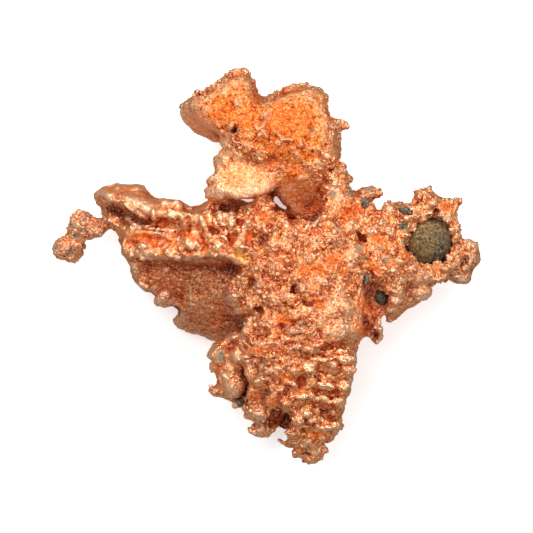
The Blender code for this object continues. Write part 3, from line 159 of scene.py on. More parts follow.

# Listed forms. A mark is (x, y, radius, stretch, turn): how much longer than wide, and its turn in
# degrees, follow only where they aren't 1 and 0

# Knobs: how far each stands out, x, y, half width, half length, turn
KNOBS = [
    # ribs and knobs of the left arm, from the ledge down to the lower rim
    (0.9, -22.4, 10.3, 0.7, 1.3), (0.5, -20.2, 12.2, 1.2, 1.3), (0.6, -17.8, 11.8, 1.7, 1.5),
    (0.6, -18.9, 9.9, 0.8, 0.6, -10), (1, -9.2, 9, 1.5, 2.1, 10), (0.6, -31.3, 9.2, 1.3, 0.4, -12),
    (0.6, -29.6, 8.2, 1.3, 0.4, -18), (0.6, -28.2, 4.1, 0.6, 1.3), (0.9, -24.1, 4, 1.9, 1),
    (1, -25.4, 5.5, 2.2, 0.9, -6), (1.5, -21.6, 5, 1.9, 1.2, -8), (2.2, -20.8, 4.7, 0.9, 0.8),
    (1, -14.6, 4.2, 1.8, 1.4, -10), (0.9, -9.5, 4, 1.9, 1.7), (0.7, -17.1, 3.3, 0.5, 1, 25),
    (0.5, -26.9, 2.3, 0.8, 0.5), (0.5, -24.6, 1.6, 0.7, 0.5, -20), (0.5, -21.8, 2.3, 0.7, 0.5),
    (0.3, -22.6, 0.9, 0.6, 0.4), (0.6, -20, 2.7, 0.6, 0.5), (0.5, -19, 2.1, 0.5, 0.5),
    (0.5, -17.5, 1.6, 0.6, 0.5), (0.5, -15.8, 1.5, 0.7, 0.5), (0.6, -14.4, 2.2, 0.6, 0.4),
    (0.5, -13, 1.9, 0.5, 0.5), (0.5, -10.2, 2.2, 0.6, 0.4), (0.5, -8.8, 2.5, 0.6, 0.5),
    (0.5, -7.5, 3.2, 0.5, 0.5), (0.5, -6.6, 4.1, 0.4, 0.4), (0.6, -3.4, 5.2, 1, 0.6, 20),
    (0.7, -4.6, 3.9, 1.2, 0.5, -8), (0.5, 0.9, 4.2, 1.3, 0.35, -32), (0.5, 0.3, 3.3, 1.1, 0.35, -32),
    # marks of the brown face
    (0.2, -17.5, -2.6, 0.9, 0.3, -30), (0.3, -8.6, -3.9, 1.3, 0.4, -8), (0.2, -10.4, -0.2, 0.3, 0.6),
    # the shell's lower rim and the bars behind it
    (0.4, -8.4, 13.2, 1.1, 0.8, 30), (0.6, -0.6, 12.9, 0.9, 0.3), (0.6, -0.7, 12, 0.9, 0.3, -8),
    (0.6, -0.6, 11.2, 0.9, 0.3, 8), (0.7, 1.6, 9.8, 0.8, 0.7), (0.7, 4, 8.4, 0.7, 1.5, 40),
    (0.6, 3.6, 6.2, 1, 1.1), (0.6, 5.8, 6.4, 0.6, 0.6), (0.8, 8.2, 7.8, 0.8, 1.1),
    (0.5, 0.2, 9.2, 0.3, 1.1),
    # knobs of the top arm
    (0.6, -5.9, 32.2, 0.9, 1, 20), (0.8, -0.1, 29.8, 1, 1), (0.4, 4.8, 35.4, 1.9, 0.8, 18),
    (0.7, 2.4, 24.4, 0.9, 0.8), (0.7, 6.8, 24.3, 0.9, 0.9), (0.6, 5.2, 23.5, 0.7, 0.5),
    (0.5, 7, 17.8, 1.7, 0.9, 10), (0.5, 15, 19.4, 1, 1.5), (0.5, -8.2, 20.8, 1.6, 1.8),
    # middle: a rimmed dome, the swirl beside it, and broken lumps
    (0.7, 4, -6.1, 3, 1.6), (0.8, 7.2, -4.3, 1.1, 1), (0.7, 10.8, -3.1, 2, 1, -18),
    (0.9, -1.3, -3.3, 0.9, 1.3, -20), (0.8, -2.4, -10.4, 1.3, 1.2), (0.6, -1.5, -0.1, 1.3, 0.9, 20),
    (0.6, 1.8, -1.4, 1, 0.8), (0.5, 1, 2.2, 0.9, 0.7), (0.5, 4.4, 3.4, 1.1, 0.7, 30),
    (0.6, 10.2, 2.4, 0.9, 0.6, 30), (0.8, 13.4, 6.6, 0.6, 1.4, 20), (0.6, 16.2, -0.1, 1.7, 1.5),
    (0.6, 14.6, -2.5, 1, 1.6, 20), (0.5, 16.4, -4.5, 1.6, 1.2), (0.8, 20.6, 7.2, 1.5, 1.6),
    (0.7, 22.6, 8.4, 1.1, 1.4), (0.5, 19.2, 10.2, 1.3, 0.8),
    # lumps of the right arm
    (0.6, 20.4, 14.5, 2, 1.2), (0.6, 22.2, 14.5, 1, 1.1), (0.6, 24.4, 10.9, 1.5, 1.8, 10),
    (0.8, 24.6, 6.6, 1.3, 1.7), (0.9, 27.6, 9.5, 1.1, 0.9), (1, 28.9, 7.5, 1.2, 0.8, 10),
    (0.8, 27.6, 6.2, 1.2, 0.7), (0.7, 24.8, 3, 1.2, 1), (0.9, 26.6, 1.2, 1.6, 1.3),
    (0.7, 28.8, -0.4, 1, 0.9), (0.7, 30.8, 13.5, 1.6, 1.9), (0.7, 33, 12.6, 1.2, 1.1),
    (0.6, 36.2, 12.5, 1.2, 0.8, 20), (0.7, 36, 9.3, 0.9, 0.9), (0.6, 37.8, 7.7, 0.9, 1),
    (0.7, 35.8, -0.3, 1.3, 0.9), (0.5, 40.4, 3.8, 2, 1.8), (0.8, 25.6, -6.6, 1.6, 1.3),
    (0.4, 30.6, -5, 2.3, 1.9), (0.6, 24.4, -8.6, 0.8, 0.7), (0.4, 19.8, -9, 0.6, 1.6, 40),
    (0.5, 21, -11.4, 0.6, 1.5, 35),
    # ledges of the bottom arm
    (1.1, 8.4, -20.2, 1.7, 1.7), (0.9, 13.4, -19.5, 0.8, 0.7), (0.8, 15.1, -18.7, 1.3, 0.7, -20),
    (1, 11.4, -23.5, 2, 1, -8), (0.8, 15.2, -24.1, 0.9, 0.9), (1, 6.2, -30.5, 1.1, 1.1),
    (1.1, 8, -29.3, 1.3, 1), (0.8, 9, -30.5, 0.8, 0.8), (0.6, 5, -25.9, 0.5, 0.5), (0.8, 3.8, -27, 1, 0.8),
    (0.6, 7.4, -35.5, 0.7, 0.7), (0.5, 15.4, -21.4, 1.3, 0.5, 12),
    # round lobes of the lower left
    (0.6, -9.2, -17.6, 1.9, 1.9), (0.5, -9.8, -20.1, 1.2, 0.9), (0.9, -6.4, -23.3, 2.2, 2.6),
    (0.9, -1.4, -29, 2.1, 2.4), (0.7, -5.4, -14, 1.8, 0.8), (0.6, -3.6, -18.4, 1.5, 1, -20),
]
# Ridges that run over the surface: radius, how far each stands out, and the points it runs through
RIDGES = [
    (0.45, 0.45, [(-32.4, 13.1), (-28.6, 13.2), (-27.3, 11.6), (-25.3, 10.4), (-23.8, 9.6)]),
    (0.85, 0.6, [(-14.7, 9.6), (-14.4, 6.6)]), (0.8, 0.7, [(-12.9, 9.6), (-12.3, 7.8), (-11.3, 6.2)]),
    (0.7, 0.5, [(-16.4, 9.6), (-16.2, 7.4)]), (0.9, 0.7, [(-6.7, 10.6), (-6.8, 8.6), (-7.4, 6.9)]),
    (0.8, 0.7, [(-4.8, 9.8), (-3.4, 8.2), (-3, 6.8)]),
    (0.55, 0.6, [(-2.6, 10.4), (-1.7, 8.8), (-1.5, 6.4)]),
    (0.55, 0.6, [(-1.4, 10.4), (-0.5, 9), (-0.4, 6.8)]), (0.45, 0.5, [(-27.8, 9.4), (-26.4, 8.4)]),
    (0.4, 0.7, [(-11.2, 4.8), (-10.5, 5.9), (-9.4, 6.3), (-8.2, 5.7), (-7.6, 4.6)]),
    (0.5, 0.6, [(-8.2, -6.4), (-6.4, -5.6), (-4.4, -5.6), (-3, -4.9)]),
    (0.45, 0.5, [(-8, -7.1), (-6.6, -7.7)]), (0.7, 0.6, [(-5.4, -2.1), (-4.2, -1.4), (-2.6, -0.6)]),
    (0.28, 0.45, [(1.2, -6.9), (2.2, -7.5), (3.6, -7.8), (4.9, -7.6), (6, -7.1), (6.8, -6.3)]),
    (0.35, 0.5, [(8.2, -5.9), (9.4, -6.6), (11, -6.4), (12, -5.2)]),
    (0.3, 0.5, [(8.6, -4.9), (9.8, -5.4), (10.8, -5)]),
    (0.5, 0.6, [(9.4, 8.3), (10.4, 9.3), (11.8, 9.9), (13.4, 9.7)]),
    (0.35, 0.6, [(0.5, 7.2), (1.6, 7.7), (2.8, 8.2)]),
    (0.8, 0.4, [(-13.9, 34), (-11, 35.1), (-9.2, 36.6), (-7.4, 38)]),
    (1.2, 0.4, [(-6.6, 38.2), (-4.6, 38.6)]), (0.6, 0.7, [(-0.2, 28.8), (-0.8, 27.5), (-0.1, 25.8)]),
    (0.5, 0.7, [(1.6, 26.8), (3, 25.4), (5, 24.9)]),
    (0.45, 0.5, [(-2.2, 27.9), (-1.4, 26.6), (-1.6, 25.2)]),
    (0.6, 0.5, [(10.4, 23.2), (11.8, 21.6), (13.6, 21.4)]),
    (0.6, 0.8, [(29.4, 9.9), (31, 10.2), (32.8, 10.7)]),
    (0.5, 0.5, [(33.4, -2.4), (36, -2.2), (38.4, -3.2)]),
    (0.8, 0.9, [(6.4, -25.8), (8, -25.5), (9.8, -26.3)]), (0.7, 0.7, [(11, -25.9), (12.2, -26.8)]),
    (0.7, 0.7, [(13.4, -26.4), (14.4, -27.6)]), (0.7, 0.9, [(10.1, -31.4), (11.4, -32.4), (12.4, -31.9)]),
    (0.7, 0.8, [(13.4, -31.7), (14.6, -30.6)]), (0.7, 0.6, [(11.2, -21.6), (12.4, -22)]),
    (0.6, 0.7, [(3.4, -22.6), (4.8, -22.9), (6, -23.7)]),
    (0.7, 0.7, [(-0.2, -20.7), (1.6, -20.2), (3.2, -19.9)]),
    (0.75, 0.8, [(3.2, -23.9), (1.6, -24.8), (0.8, -26.6)]),
    (0.7, 0.8, [(4.4, -12.9), (6.8, -12.6), (9, -13.2)]),
    (0.6, 0.7, [(4.6, -16), (6.6, -15.8), (8.8, -16.6)]),
    (0.6, 0.7, [(0.6, -14.2), (2.6, -13.8), (4, -14.4)]),
    (0.6, 0.7, [(-2.6, -15), (-0.8, -15.4), (1, -15.2)]),
    (0.55, 0.7, [(-1.6, -17.2), (0.4, -17.6), (2.6, -17.4)]),
    (0.5, 0.5, [(9.6, -15.6), (11.8, -15.2), (14.2, -15.4)]),
    (0.5, 0.6, [(-2.2, -22.8), (-0.8, -22.2), (0.6, -22.6)]),
    (0.5, 0.6, [(12.4, -28.6), (14, -29.4), (15, -28.8)]),
    (0.4, 0.5, [(8.2, -33.8), (9.8, -33.4), (11.4, -34)]),
    (0.5, 0.6, [(-1.2, -5.4), (0.2, -4.2), (1.8, -3.6)]),
]
# Bays, where the outline is drawn in, or out where the depth is below nought: depth, mark
BAYS = [
    (0.4, -13, 35.6, 2), (0.4, -7.6, 38.8, 2.2), (1.2, -9.8, 23.3, 1.2), (0.6, -11, 19, 1.1),
    (0.4, -21.8, 15, 2.2), (0.5, -14.5, 13.4, 2.6), (0.7, 13.6, 30.8, 2), (0.6, 15.6, 20.9, 1.6),
    (0.6, 17.6, 15.8, 1.2), (1, 22.3, 12.6, 1.2), (0.5, 28.3, 13.6, 1.2), (0.4, 42.4, 4, 2.5),
    (1.4, 33.2, -4.8, 1.3), (0.6, 36.5, -3.6, 1.4), (0.6, 31.5, -7.4, 2), (0.5, 28.6, -9.6, 2),
    (1.2, 23.8, -11, 1), (0.8, 19.2, -16, 1.5), (0.8, 20.1, -14.6, 0.9), (1.4, -18.4, -8.9, 1.2),
    (0.5, -13, -14.6, 2.2), (1.6, -10.6, -22.6, 1.2), (0.9, -5.2, -28.2, 1.4), (1, -3.5, -31.7, 1),
    (1.6, 2.6, -33.9, 1.3), (0.9, 4.6, -36.7, 0.9), (0.8, 12, -36, 1.2), (0.3, 16.6, -27, 3),
    (-0.45, -4.3, 14.2, 1.6), (0.5, -2.2, 13.1, 0.7), (-0.5, -6, 13.3, 0.6), (0.6, 1.4, 14.7, 0.6),
    (0.6, 4.1, 11.3, 0.7), (0.8, -36, 4, 1.2), (0.5, -29.6, 3.4, 1.5), (0.6, -23, -6.2, 1.4),
    (0.8, -11.6, -19.2, 0.8), (-0.6, -42.9, 2, 2.2), (-0.6, -33.2, 9.6, 1), (-0.7, 15.8, 27.8, 1),
    (-0.6, 40.6, -3.4, 1.8),
]
# Valleys of the upper side: depth, mark
VALLEYS = [
    (4, -4.4, -24.8, 0.5, 3.2, 72), (3.6, -3.2, -27.2, 0.7, 2.6, 60), (4.6, 1.9, -29.6, 0.9, 2.6, 75),
    (1.4, -9, -20.6, 0.6, 2.6, -25), (1.6, -0.4, -25.9, 0.6, 2.4, 30), (2, -3, -31.6, 0.8, 1.6),
    (4, 3.9, -30.2, 1, 1.6, 60), (1.6, 9.4, -33.4, 0.7, 2, -30), (1.2, 11.8, -29.4, 0.9, 2, -24),
    (1.5, 10.6, -21.2, 0.7, 2, -20), (1.6, 13.4, -16.9, 0.7, 3.6, 12), (1, 0.9, -21.3, 0.5, 3.6, 5),
    (1, 3.9, -18.4, 0.6, 2.6, 20), (1.2, 7.9, -36, 0.7, 2.2, -20), (1.4, -6.6, -15.4, 0.6, 2, 50),
    (0.9, 1.6, -12.2, 0.6, 3, 10), (1, -23.4, 8.9, 0.9, 2.2, -30), (0.9, -20.8, 8.6, 0.8, 1.4),
    (1, -16.6, 6.6, 0.6, 2), (1, -11.6, 7, 0.6, 1.8, 60), (1.2, -12.3, 3.2, 0.5, 2, 80),
    (1.2, -7, 5.4, 0.6, 1.8, 70), (1, -8.6, 11.4, 0.5, 2, 20), (0.9, -15.5, 3, 0.6, 2),
    (0.8, -9.6, 3.6, 0.8, 1.3), (1.4, 20.9, -1.6, 0.8, 2.2, 80), (1, 18.9, 11.8, 0.6, 2.4, -30),
    (1.2, 22.9, 5.2, 0.6, 1.8, 80), (1.2, 26.4, 7.9, 0.5, 2.2, 30), (1, 33.4, 14, 0.6, 1.8, 70),
    (1, 27.4, 12.2, 0.6, 2, 50), (1, 36.6, 1.6, 0.6, 2.4, 80), (1, 5.9, -3.6, 0.6, 1.8, 50),
    (1, 8.6, -7.4, 0.6, 3.4, -5), (1, 13, -4.2, 0.5, 2.2, 50), (1, 18, -2.6, 0.6, 2.6, 70),
    (1, -0.4, -7.6, 0.6, 2.2, -40),
]
VALLEY_SHARE = 0.45         # how much of their depth is cut
# Fingers and hooks that stand out sideways: chains of (x, y, z, radius)
FINGERS = [
    [(-9.4, 17.4, 22.6, 1), (-11, 17.1, 22.3, 0.8), (-11.6, 16.9, 22, 0.55)],
    [(-9.4, 15.8, 23, 1.1), (-11.2, 15.2, 22.6, 0.75), (-12.1, 15.1, 22.2, 0.55)],
    [(-9.4, 15, 23.2, 1), (-11, 14.3, 22.8, 0.7), (-11.9, 13.9, 22.4, 0.6)],
    [(-9, 14, 23.2, 0.9), (-10.3, 13.4, 22.4, 0.75)], [(-9, 20.6, 21.6, 1.1), (-9.8, 21.4, 21.2, 0.8)],
    [(4.9, -35.5, 15.4, 0.7), (3.3, -35.3, 15.2, 0.45), (2.5, -34.5, 15, 0.38)],
    [(6, -36.4, 15.4, 0.6), (5.5, -37.9, 15, 0.42)],
    [(-3, -32.9, 15, 0.6), (-2, -33.5, 15, 0.6), (-0.4, -33.6, 15, 0.6), (0.6, -33.1, 15, 0.55)],
    [(0.8, -33, 15, 0.4), (1.6, -32.8, 15, 0.36), (1.7, -32.3, 15, 0.36)],
    [(-20.2, -5.6, 15, 1.3), (-21.4, -6.9, 14.6, 1.15)], [(-24, -4, 15.2, 0.7), (-25.3, -3.4, 15, 0.65)],
    [(-17.4, -8.4, 14.4, 0.6), (-18.6, -7.6, 14.6, 0.6)],
    [(32.4, 14.6, 16.4, 0.9), (32.6, 15.7, 16.2, 0.6)], [(37.2, 12.4, 16.4, 1), (38.2, 13.3, 16.2, 0.75)],
    [(-7.2, 27.6, 24.7, 0.65), (-6.7, 28.4, 24.8, 0.55)],
    [(-5.3, 27.2, 24.8, 0.6), (-5.2, 26, 24.6, 0.7), (-6.2, 25.4, 24.2, 0.55)],
    [(24.6, 12, 17, 1), (24.4, 13, 16.8, 0.55)], [(14.4, 28.3, 18.2, 0.9), (15.6, 28.5, 18, 0.7)],
    [(-8.8, -24.9, 15.2, 0.8), (-9.6, -25.4, 15, 0.75), (-10.6, -24.8, 15, 0.65), (-11.2, -23.8, 15.2, 0.5)],
    [(11, -36.4, 15.4, 0.9), (11.6, -36.8, 15.4, 0.6)], [(22.4, -13.8, 16.6, 0.9), (22.1, -15, 16.2, 0.6)],
    [(24.6, -9.8, 16, 0.9), (24.6, -10.8, 15.6, 0.55)],
]
# Beads of metal that close over the pebble: bearing from its middle, distance, height and radius
CLAWS = [
    (88, 5.2, 18.8, 0.7), (106, 4.9, 19, 1.2), (122, 5, 19.4, 0.8), (140, 4.7, 19.6, 1.3),
    (160, 5.2, 19.6, 0.9), (178, 4.8, 19.8, 1.1), (196, 5.3, 19.8, 0.7), (214, 4.6, 19.6, 0.8),
    (230, 5.1, 19.6, 1.1), (252, 4.9, 19.2, 0.7), (268, 5.2, 19, 1), (290, 4.9, 18.6, 1),
    (322, 5.2, 18.4, 0.9), (344, 4.9, 18, 0.6), (2, 5.2, 18, 0.8), (24, 5, 18, 0.9),
]
# Pits: depth, mark
PITS = [
    (1.4, -6.1, 26.6, 0.35, 2.4, 80), (1.1, 11.8, 24.2, 0.4), (1.1, 9.1, 22.4, 0.45),
    (1.5, 12.8, 19, 0.45, 1.3, 40), (1.6, 0.9, 20.9, 0.6, 1.6, 10), (2.4, 5.3, -4.5, 0.55, 1.2, 30),
    (2.2, 19.1, 5.6, 0.5, 2.2, -50), (1.2, 12.7, 4.4, 0.3), (1.8, -1.7, -8.4, 0.6, 1.4),
    (2, -3, -3.1, 0.5, 1.8, 60), (1.8, -1.2, 5, 0.45, 1.4), (1.4, 3, -11.9, 0.45, 1.3, 30),
    (1.6, 26.7, 9.2, 0.5, 1.6, 90), (2, 33.6, 10.8, 0.5, 1.3, 60), (1, 3.4, -31.2, 0.5, 1.6, 70),
    (1.8, 7.5, -32.8, 0.55), (1.3, 8.1, -37.6, 0.7, 1.5, -20), (1.3, 6.8, -23.2, 0.6, 1.5, 80),
    (1.5, 21.6, -13.9, 0.6, 1.3, -60), (1.2, 39.4, 1, 0.7, 1.6, 80), (1.1, -21.3, 8.3, 0.6, 1.5, 10),
    (0.9, -30.6, 11, 0.8, 2.2, -15), (0.8, -10.4, -11.6, 0.45, 1.2), (1.4, -9.9, 11.6, 0.5, 2.2, 30),
]
# Creases: width, depth and the points they run through
CREASES = [
    (0.4, 1.1, [(8.9, -17.9), (10.9, -17.6), (13, -17.4), (15.4, -16.9), (16.8, -15.8)]),
    (0.4, 1.1, [(6.4, -22.6), (8.4, -21.8), (10.2, -22.2)]),
    (0.45, 1.1, [(9.9, -28), (11.4, -28.9), (12.6, -28.8)]),
    (0.35, 1.2, [(0.3, -27.6), (0.8, -29.4), (0.7, -31.2)]),
    (0.35, 0.9, [(-4.6, -18.4), (-2, -17.8), (1, -17), (4, -17.6)]),
    (0.3, 0.9, [(5.5, -5), (6.6, -6.6), (8, -7.2), (11, -7)]),
    (0.3, 0.9, [(1.2, -7.4), (2.6, -8), (4.6, -7.9), (6.2, -6.8)]),
    (0.35, 1, [(5, -10.8), (6.6, -11), (8.4, -11.8)]),
    (0.35, 1, [(-24.4, 7.6), (-21.8, 7), (-19, 6.4), (-16.4, 6.4)]),
    (0.35, 1.1, [(-12.9, 6.6), (-12.6, 4.6), (-12.4, 3.2)]),
    (0.3, 0.9, [(-8.2, 7.6), (-7.2, 6), (-7, 4.2)]), (0.3, 1, [(-10.8, 12), (-10.6, 10), (-9.2, 7.6)]),
    (0.3, 0.9, [(-5.4, 11.6), (-5, 9.8), (-5.6, 7.4)]), (0.35, 1, [(17.6, 12), (19.6, 10.4), (22.6, 10.6)]),
    (0.35, 1, [(18.6, 0), (20.4, -0.6), (21.4, -2.4), (21.4, -4)]),
    (0.3, 0.9, [(29.2, 13.2), (30.4, 12.8), (31, 14)]),
]
MARK_SHARE = 0.75           # how much of the depth of pits and creases is cut

# Marks that are colour only

# Glows, where light is caught between walls of metal and comes out deep orange
GLOWS = [
    (-25.3, 6, 1.1, 2.3), (-22.8, 5, 1, 1.5, -30), (-19.3, 5.2, 0.8, 2.1), (-20.3, 8.5, 0.9, 1.7),
    (-15.5, 6.1, 0.5, 2), (-12.3, 3.4, 0.5, 2.2, 90), (-6.8, 5.3, 0.8, 1.6, 90), (-3.3, 5.9, 0.8, 1.4),
    (0.9, 20.8, 1.2, 1.3), (5.2, 18.5, 1.4, 1.5, 20), (9.4, -0.6, 1.8, 1.8, -8), (2.2, 23, 1.4, 1.2),
    (10.2, -7.4, 0.9, 2.4, -10), (6.4, 7.5, 0.6, 1.2), (-0.6, 10, 1, 1.4, -40), (9.8, 11.6, 1, 1.6, 60),
    (6.9, -23.2, 0.8, 1.8, 85), (9.6, -33.2, 1, 2.4, -10), (-10.6, -11.5, 0.5, 1.4), (3.6, -21.9, 0.7, 2.2),
    (20, -8.2, 1.4, 1.8, -60), (18.8, -12.4, 1, 1.6, -50), (36, 11.9, 0.9, 1.8, -20),
    (22.2, 5, 0.9, 2, -20), (3.4, -10.6, 1, 1.6, -10), (-2, -16.6, 0.9, 2), (16.6, 11, 1.4, 1.8, 20),
    (-10.2, -20.4, 0.7, 1.2), (13.4, 1.4, 1.2, 1.8), (-3.4, -2.2, 0.7, 1.4, 60), (1.4, -26.4, 0.9, 1.4, 45),
    (-2, -25.6, 0.9, 1.5, 20), (15.4, -1, 0.8, 1.8, 40), (21, 0, 1, 1.6), (27.6, 2, 0.9, 1.4),
    (4, 29.4, 2.6, 1.6), (-10, 30, 1.6, 1.8, 15), (-4.4, 29.4, 1.8, 1.2),
]
# Deep places where hardly any light comes out
RECESSES = [
    (-6.3, 27.1, 0.6, 2.2, 80), (-5.2, -11.5, 1.1), (3.9, -30.1, 1.1, 1.3, 60), (7.4, -32.7, 0.5),
    (-0.8, 5.5, 0.5, 1.5, 90), (21.8, -13.9, 0.9, 1.2, -50), (-7.2, 12.2, 0.6, 3.4, 23),
    (-4.6, -25.2, 0.45, 3, 72), (22.4, -4.6, 0.6, 2, 90), (9.6, 9.4, 1, 1.4, 60), (5.5, -4.5, 0.45, 1.1),
    (-1.8, -8.6, 0.7, 1.1), (-3.3, -3.3, 0.5, 1.7, 70), (33.9, 10.8, 0.6, 1.4, 60),
    (35, 8.4, 0.6, 1.4, -40), (11.8, -28.8, 0.6, 2.4, -12), (-7.6, -0.6, 1, 2.4), (-30, 11, 0.9, 2.2, -25),
    (-25.6, 8.6, 1.1, 2, -30), (39.6, 0.9, 0.8, 1.6, 80), (8, -37.2, 0.7, 1.3, -30), (-1.2, -30.8, 0.8, 2),
    (-22, 7.2, 0.6, 2.6, -10),
]
# Painted highlights on tips, which look nearly white
HIGHLIGHT_SPOTS = [
    (-5.9, 32.2, 0.7, 1.2, 90), (-0.1, 29.8, 0.8), (2.4, 24.4, 0.6), (-0.7, 27.4, 0.4, 2.6, 80),
    (-1.3, -3.2, 0.8, 1.4, 70), (7.2, -4.2, 0.9), (11, -3, 0.7, 2.2, -18), (16.7, 0.7, 0.4, 2, -30),
    (-2.4, -10, 0.9, 1.2), (8.2, 8.2, 0.6, 1.2, 90), (-14.4, 2.3, 0.5, 1.2), (-9.4, 6.3, 0.5, 3),
    (4, 8.4, 0.5, 2.2, -50), (-4.6, 4, 0.4, 2.4, -8), (-4, -18.2, 1.1, 1.8, -20), (-0.8, -22.2, 0.7, 1.8),
    (12.2, -31.8, 0.5, 3), (6.4, -30.2, 0.7, 1.2), (8, -29.2, 0.6, 1.4), (6.8, -12.5, 0.9, 2.6),
    (6.4, -15.8, 0.6, 3), (15.1, -18.6, 0.5, 1.8, -20), (13.4, -19.3, 0.4), (8.2, -19.8, 0.8, 1.2),
    (11.4, -23.2, 0.5, 2.6, -8), (-6, -5.6, 0.4, 4, 5), (13.4, 6.8, 0.4, 3, 70), (25.4, -6.2, 0.7, 1.4),
    (24.6, 6.8, 0.7, 1.4, 90), (21, 7.4, 0.8, 1.6, 40), (-7.4, -13.6, 0.7, 1.8), (13.2, -6.8, 1, 1.2),
    (-24, 1.8, 0.5, 1.6), (3.4, 25.2, 0.4, 3, -35), (27.8, 9.6, 0.5, 1.4), (1.6, -20.2, 0.5, 2.6, 10),
]
# Films and grains of rock left in the metal
FILMS = [
    (-38.6, 8.4, 0.55, 1.4, 20), (-37, 7.4, 0.45, 1.2), (-38, 6, 0.45, 1.2, 40), (-42, 4, 0.5, 1.2),
    (-39.2, 3.4, 0.5, 1.4, 60), (-39.6, 2.4, 0.45, 1.2), (-35.7, 10.7, 0.4), (-36.4, 9, 0.35),
    (-0.1, 32.4, 0.55), (8.7, 26.9, 0.5, 1.5, 60), (12.5, 16, 0.45, 1.2), (13.3, 14.2, 0.4, 1.2),
    (16.8, 14.8, 0.6, 1.2), (20.6, 15.2, 0.6, 1.5), (18.2, 3.5, 0.65, 1.1), (17.7, 1.4, 0.38),
    (19.7, 1.8, 0.55, 1.2, 50), (23.5, 1.4, 0.65, 1.1), (18.7, -1.4, 0.5, 1.1), (27.2, -2.6, 0.55, 1.1),
    (6, 0.3, 0.3), (14.1, 7.2, 0.35), (9, 1, 0.25), (6.9, -11.3, 0.4, 3.2, -18),
    (-8.7, -17.8, 0.75, 1.3, 60), (4.2, -19.7, 0.4, 1.2), (4.8, -18.7, 0.35), (27.3, 4.8, 0.5, 1.3, 30),
    (28, 7, 0.4, 1.2), (24.4, -8.6, 0.35), (11, 20.6, 0.3), (16.6, -2.4, 0.3), (12, 9, 0.3),
]
# Golden crystals
GILT = [
    (-5.6, 2.4, 1, 1.1), (-3.8, 0.9, 1, 1.2), (6.9, 26.2, 0.5, 1.2),
]
# The ways right through the metal, which stay clear of beads and grains
WAYS_THROUGH = [
    (-3.8, 13.2, 0.9, 2.2), (1.9, 13.6, 0.8, 2, -65), (3.4, 11.9, 0.8, 1.5, -35), (1, -32.1, 0.7, 1.2, 60),
]


def clear_start():
    """Start from an empty scene."""
    for old in list(bpy.data.objects):
        bpy.data.objects.remove(old, do_unlink=True)


# Fields of noise, worked out for many places at once

def hashed(cells, salt):
    """A number from 0 to 1 for each whole-number cell."""
    x, y, z = np.moveaxis(cells, -1, 0)
    key = (x * 73856093) ^ (y * 19349663) ^ (z * 83492791) ^ (salt * 668265263)
    for _ in range(2):
        key = ((key & 0xFFFFFFFF) ^ ((key & 0xFFFFFFFF) >> 16)) * 0x45D9F3B
    key = (key & 0xFFFFFFFF) ^ ((key & 0xFFFFFFFF) >> 16)
    return (key & 0xFFFFFF) / float(0x1000000)


def waves(places, pitch, salt):
    """Soft noise from -1 to 1."""
    scaled = places / pitch
    low = np.floor(scaled).astype(np.int64)
    part = scaled - low
    part = part * part * (3.0 - 2.0 * part)
    total = np.zeros(len(places))
    for corner in np.ndindex(2, 2, 2):
        weight = np.prod(np.where(corner, part, 1.0 - part), axis=1)
        total += weight * hashed(low + np.array(corner), salt)
    return total * 2.0 - 1.0


def billows(places, pitch, salt):
    """Soft noise with finer noise on it."""
    return sum(waves(places, pitch / 2.0 ** finer, salt + finer) / 2.0 ** finer for finer in range(3)) / 1.5


def warped(places, reach, pitch, salt):
    """Places pushed about by soft noise, so that what is laid on them doesn't look regular."""
    return places + np.stack([waves(places, pitch, salt + axis) for axis in range(3)], axis=1) * reach


def crystals(places, pitch, salt, stretch=(1.0, 1.0, 1.0)):
    """Uneven cells: distances to the two nearest seeds, way from the nearest, and a number for its cell."""
    scaled = places / (pitch * np.array(stretch))
    home = np.floor(scaled).astype(np.int64)
    nearest = np.full(len(places), 9.0)
    second = nearest.copy()
    away = np.zeros((len(places), 3))
    tag = np.zeros(len(places))
    for step in np.ndindex(3, 3, 3):
        cell = home + np.array(step) - 1
        gap = scaled - (cell + np.stack([hashed(cell, salt + axis) for axis in range(3)], axis=1))
        distance = np.sqrt((gap * gap).sum(axis=1))
        closer = distance < nearest
        second = np.where(closer, nearest, np.minimum(second, distance))
        nearest = np.where(closer, distance, nearest)
        away[closer] = gap[closer]
        tag[closer] = hashed(cell[closer], salt + 7)
    return nearest, second, away, tag


def facets(places, pitch, salt, tilt=0.9):
    """Heights of broken crystals, from about -1 to 1: each cell is a small plane at a tilt of its own."""
    nearest, second, away, tag = crystals(places, pitch, salt)
    turn = tag * 40.0
    lean = away[:, 0] * np.cos(turn) + away[:, 1] * np.sin(turn) + away[:, 2] * np.sin(turn * 1.7)
    crease = np.minimum((second - nearest) / 0.18, 1.0)
    return lean * tilt + (tag - 0.5) * 0.9 + (crease - 1.0) * 0.45


def domes(places, pitch, salt, stretch=(1.0, 1.0, 1.0)):
    """Heights of round beads that touch, from 0 to 1."""
    nearest, second, _, tag = crystals(places, pitch, salt, stretch)
    swell = np.clip((second - nearest) / 0.55, 0.0, 1.0) ** 0.55
    return swell * (0.6 + 0.4 * tag)


def crests(places, pitch, salt):
    """Sharp bent ridges between hollows, from 0 to 1."""
    return (1.0 - np.abs(waves(places, pitch, salt)) * 1.6).clip(0.0) ** 1.5


def streaks(places, pitch, salt):
    """Soft noise from -1 to 1, drawn out across the brown face."""
    x, y, z = places.T
    cos, sin = math.cos(math.radians(STREAK_TURN)), math.sin(math.radians(STREAK_TURN))
    across = np.stack([x * cos + y * sin, y * cos - x * sin, z], axis=1)
    return waves(across * np.array((0.3, 1.3, 1.3)), pitch, salt)


# Places on the plan

def ramp(values, start, reach):
    """From 0 at a start to 1 at a reach beyond it, or before it where the reach is below nought."""
    return np.clip((values - start) / reach, 0.0, 1.0)


def plan_shift():
    """From the plan's origin to the frame's, in millimetres."""
    low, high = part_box("pebble")
    middle = (low + high) / 2.0 / MM
    return Vector((middle.x - PEBBLE_ON_PLAN[0], middle.y - PEBBLE_ON_PLAN[1], 0.0))


